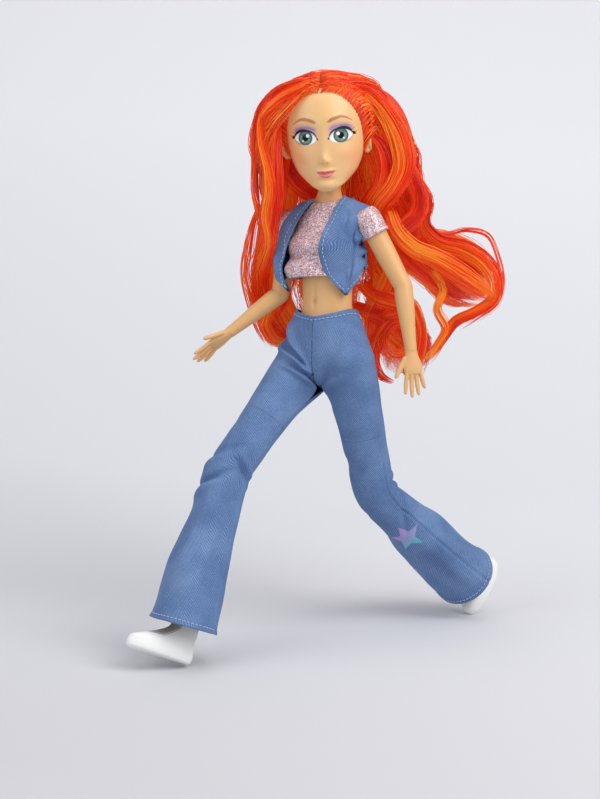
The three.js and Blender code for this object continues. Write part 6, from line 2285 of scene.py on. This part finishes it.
def stage_material():
    material = bpy.data.materials.new("studio paper")
    material.use_nodes = True
    tree = material.node_tree
    tree.nodes.remove(tree.nodes["Principled BSDF"])
    place = put(tree, "ShaderNodeSeparateXYZ", None, Vector=put(tree, "ShaderNodeTexCoord").outputs["Object"])
    height = maths(tree, "ADD", maths(tree, "MULTIPLY", place.outputs["Y"], 0.25), place.outputs["Z"])
    # the paper's colour runs from dark near the camera to light up the wall, as painted shade and light
    colour = ramp(tree, maths(tree, "ADD", height, 0.25), PAPER_SHADE_STOPS)
    paper = put(tree, "ShaderNodeBsdfDiffuse", None, Color=colour).outputs["BSDF"]
    # a camera behind the backdrop looks through it
    behind = put(tree, "ShaderNodeNewGeometry").outputs["Backfacing"]
    unseen = maths(tree, "MULTIPLY", behind, put(tree, "ShaderNodeLightPath").outputs["Is Camera Ray"])
    clear = put(tree, "ShaderNodeBsdfTransparent").outputs["BSDF"]
    either = put(tree, "ShaderNodeMixShader", None, i0=unseen, i1=paper, i2=clear).outputs["Shader"]
    output = next(n for n in tree.nodes if n.type == "OUTPUT_MATERIAL")
    feed(tree, output, Surface=either)
    return material


def make_camera():
    back, right, up = camera_ways()
    data = bpy.data.cameras.new("camera")
    data.sensor_fit = "VERTICAL"
    data.sensor_height = SENSOR
    data.sensor_width = SENSOR * PICTURE[0] / PICTURE[1]
    data.lens = SENSOR * CAMERA["scale"] * CAMERA["distance"] / PICTURE[1]
    data.clip_start, data.clip_end = 0.05, 20
    obj = show(data)
    obj.location = Vector((camera_aim() + back * CAMERA["distance"]) * MM)
    obj.rotation_mode = "QUATERNION"
    obj.rotation_quaternion = Matrix((right, up, back)).transposed().to_quaternion()
    bpy.context.scene.camera = obj


def make_stage():
    bend, radius = PAPER["bend"], PAPER["radius"]
    angles = np.linspace(0.1, math.pi / 2, PAPER["steps"])
    profile = [(depth, 0.0) for depth in (*PAPER["level"], bend)]
    profile += [(bend + radius * math.sin(t), radius - radius * math.cos(t)) for t in angles]
    profile += [(bend + radius, height) for height in PAPER["wall"]]
    ahead, side = -way_from(CAMERA["azimuth"], 0), camera_ways()[1]
    points = []
    for depth, height in profile:
        for across in (-PAPER["half_width"], PAPER["half_width"]):
            points.append(ahead * depth + side * across + np.array((0, 0, height)))
    faces = [(2 * i, 2 * i + 1, 2 * i + 3, 2 * i + 2) for i in range(len(profile) - 1)]
    mesh = bpy.data.meshes.new("studio_sweep")
    mesh.from_pydata(points, [], faces)
    mesh.polygons.foreach_set("use_smooth", [True] * len(faces))
    mesh.materials.append(stage_material())
    show(mesh)


LAMP_AIM = Vector((0, 0, 0.13))


def lamp(name, azimuth, elevation, distance, size, power, colour=(1, 1, 1)):
    """A softbox; azimuth is degrees from the camera's."""
    data = bpy.data.lights.new(name, "AREA")
    data.size, data.energy, data.color = size, power, colour
    obj = show(data)
    way = Vector(way_from(CAMERA["azimuth"] + azimuth, elevation))
    obj.location = LAMP_AIM + way * distance
    obj.rotation_mode = "QUATERNION"
    obj.rotation_quaternion = way.to_track_quat("Z", "Y")


def make_light():
    lamp("key_softbox", 48, 38, 1.3, 0.9, 12, (1, 0.985, 0.96))
    lamp("fill_softbox", -58, 22, 1.5, 1.1, 6.0, (0.97, 0.985, 1))
    lamp("top_softbox", 0, 82, 1.3, 1.2, 5.5)
    world = bpy.data.worlds.new("studio")
    bpy.context.scene.world = world
    world.use_nodes = True
    feed(world.node_tree, world.node_tree.nodes["Background"], Color=(238, 240, 246), Strength=0.4)


bpy.context.scene.view_settings.view_transform = "Standard"
make_camera()
make_stage()
make_light()

torso()
for side in SIDES:
    arm(side)
    lower_leg(side)
    ankle_rib(side)
    shoe(side)
    trousers(side)
    cap_sleeve(side)
    vest_front(side)
vest_back_piece()
knit_top()
seat_lining()
for side in SIDES:
    thigh_lining(side)
head()
hair()

# What a CAD node that stays visible is made of, by a word of its name; the rest is skin.
CAD_FINISHES = {"pin": STEEL, "knob": PEG, "peg": PEG, "fastener": HOOKS, "hair": SHADED_HAIR_UNDER}
for name, obj in frame["nodes"].items():
    if not obj.hide_render:
        words = name.split("_")
        obj.data.materials.clear()
        obj.data.materials.append(next((CAD_FINISHES[word] for word in words if word in CAD_FINISHES), SKIN))
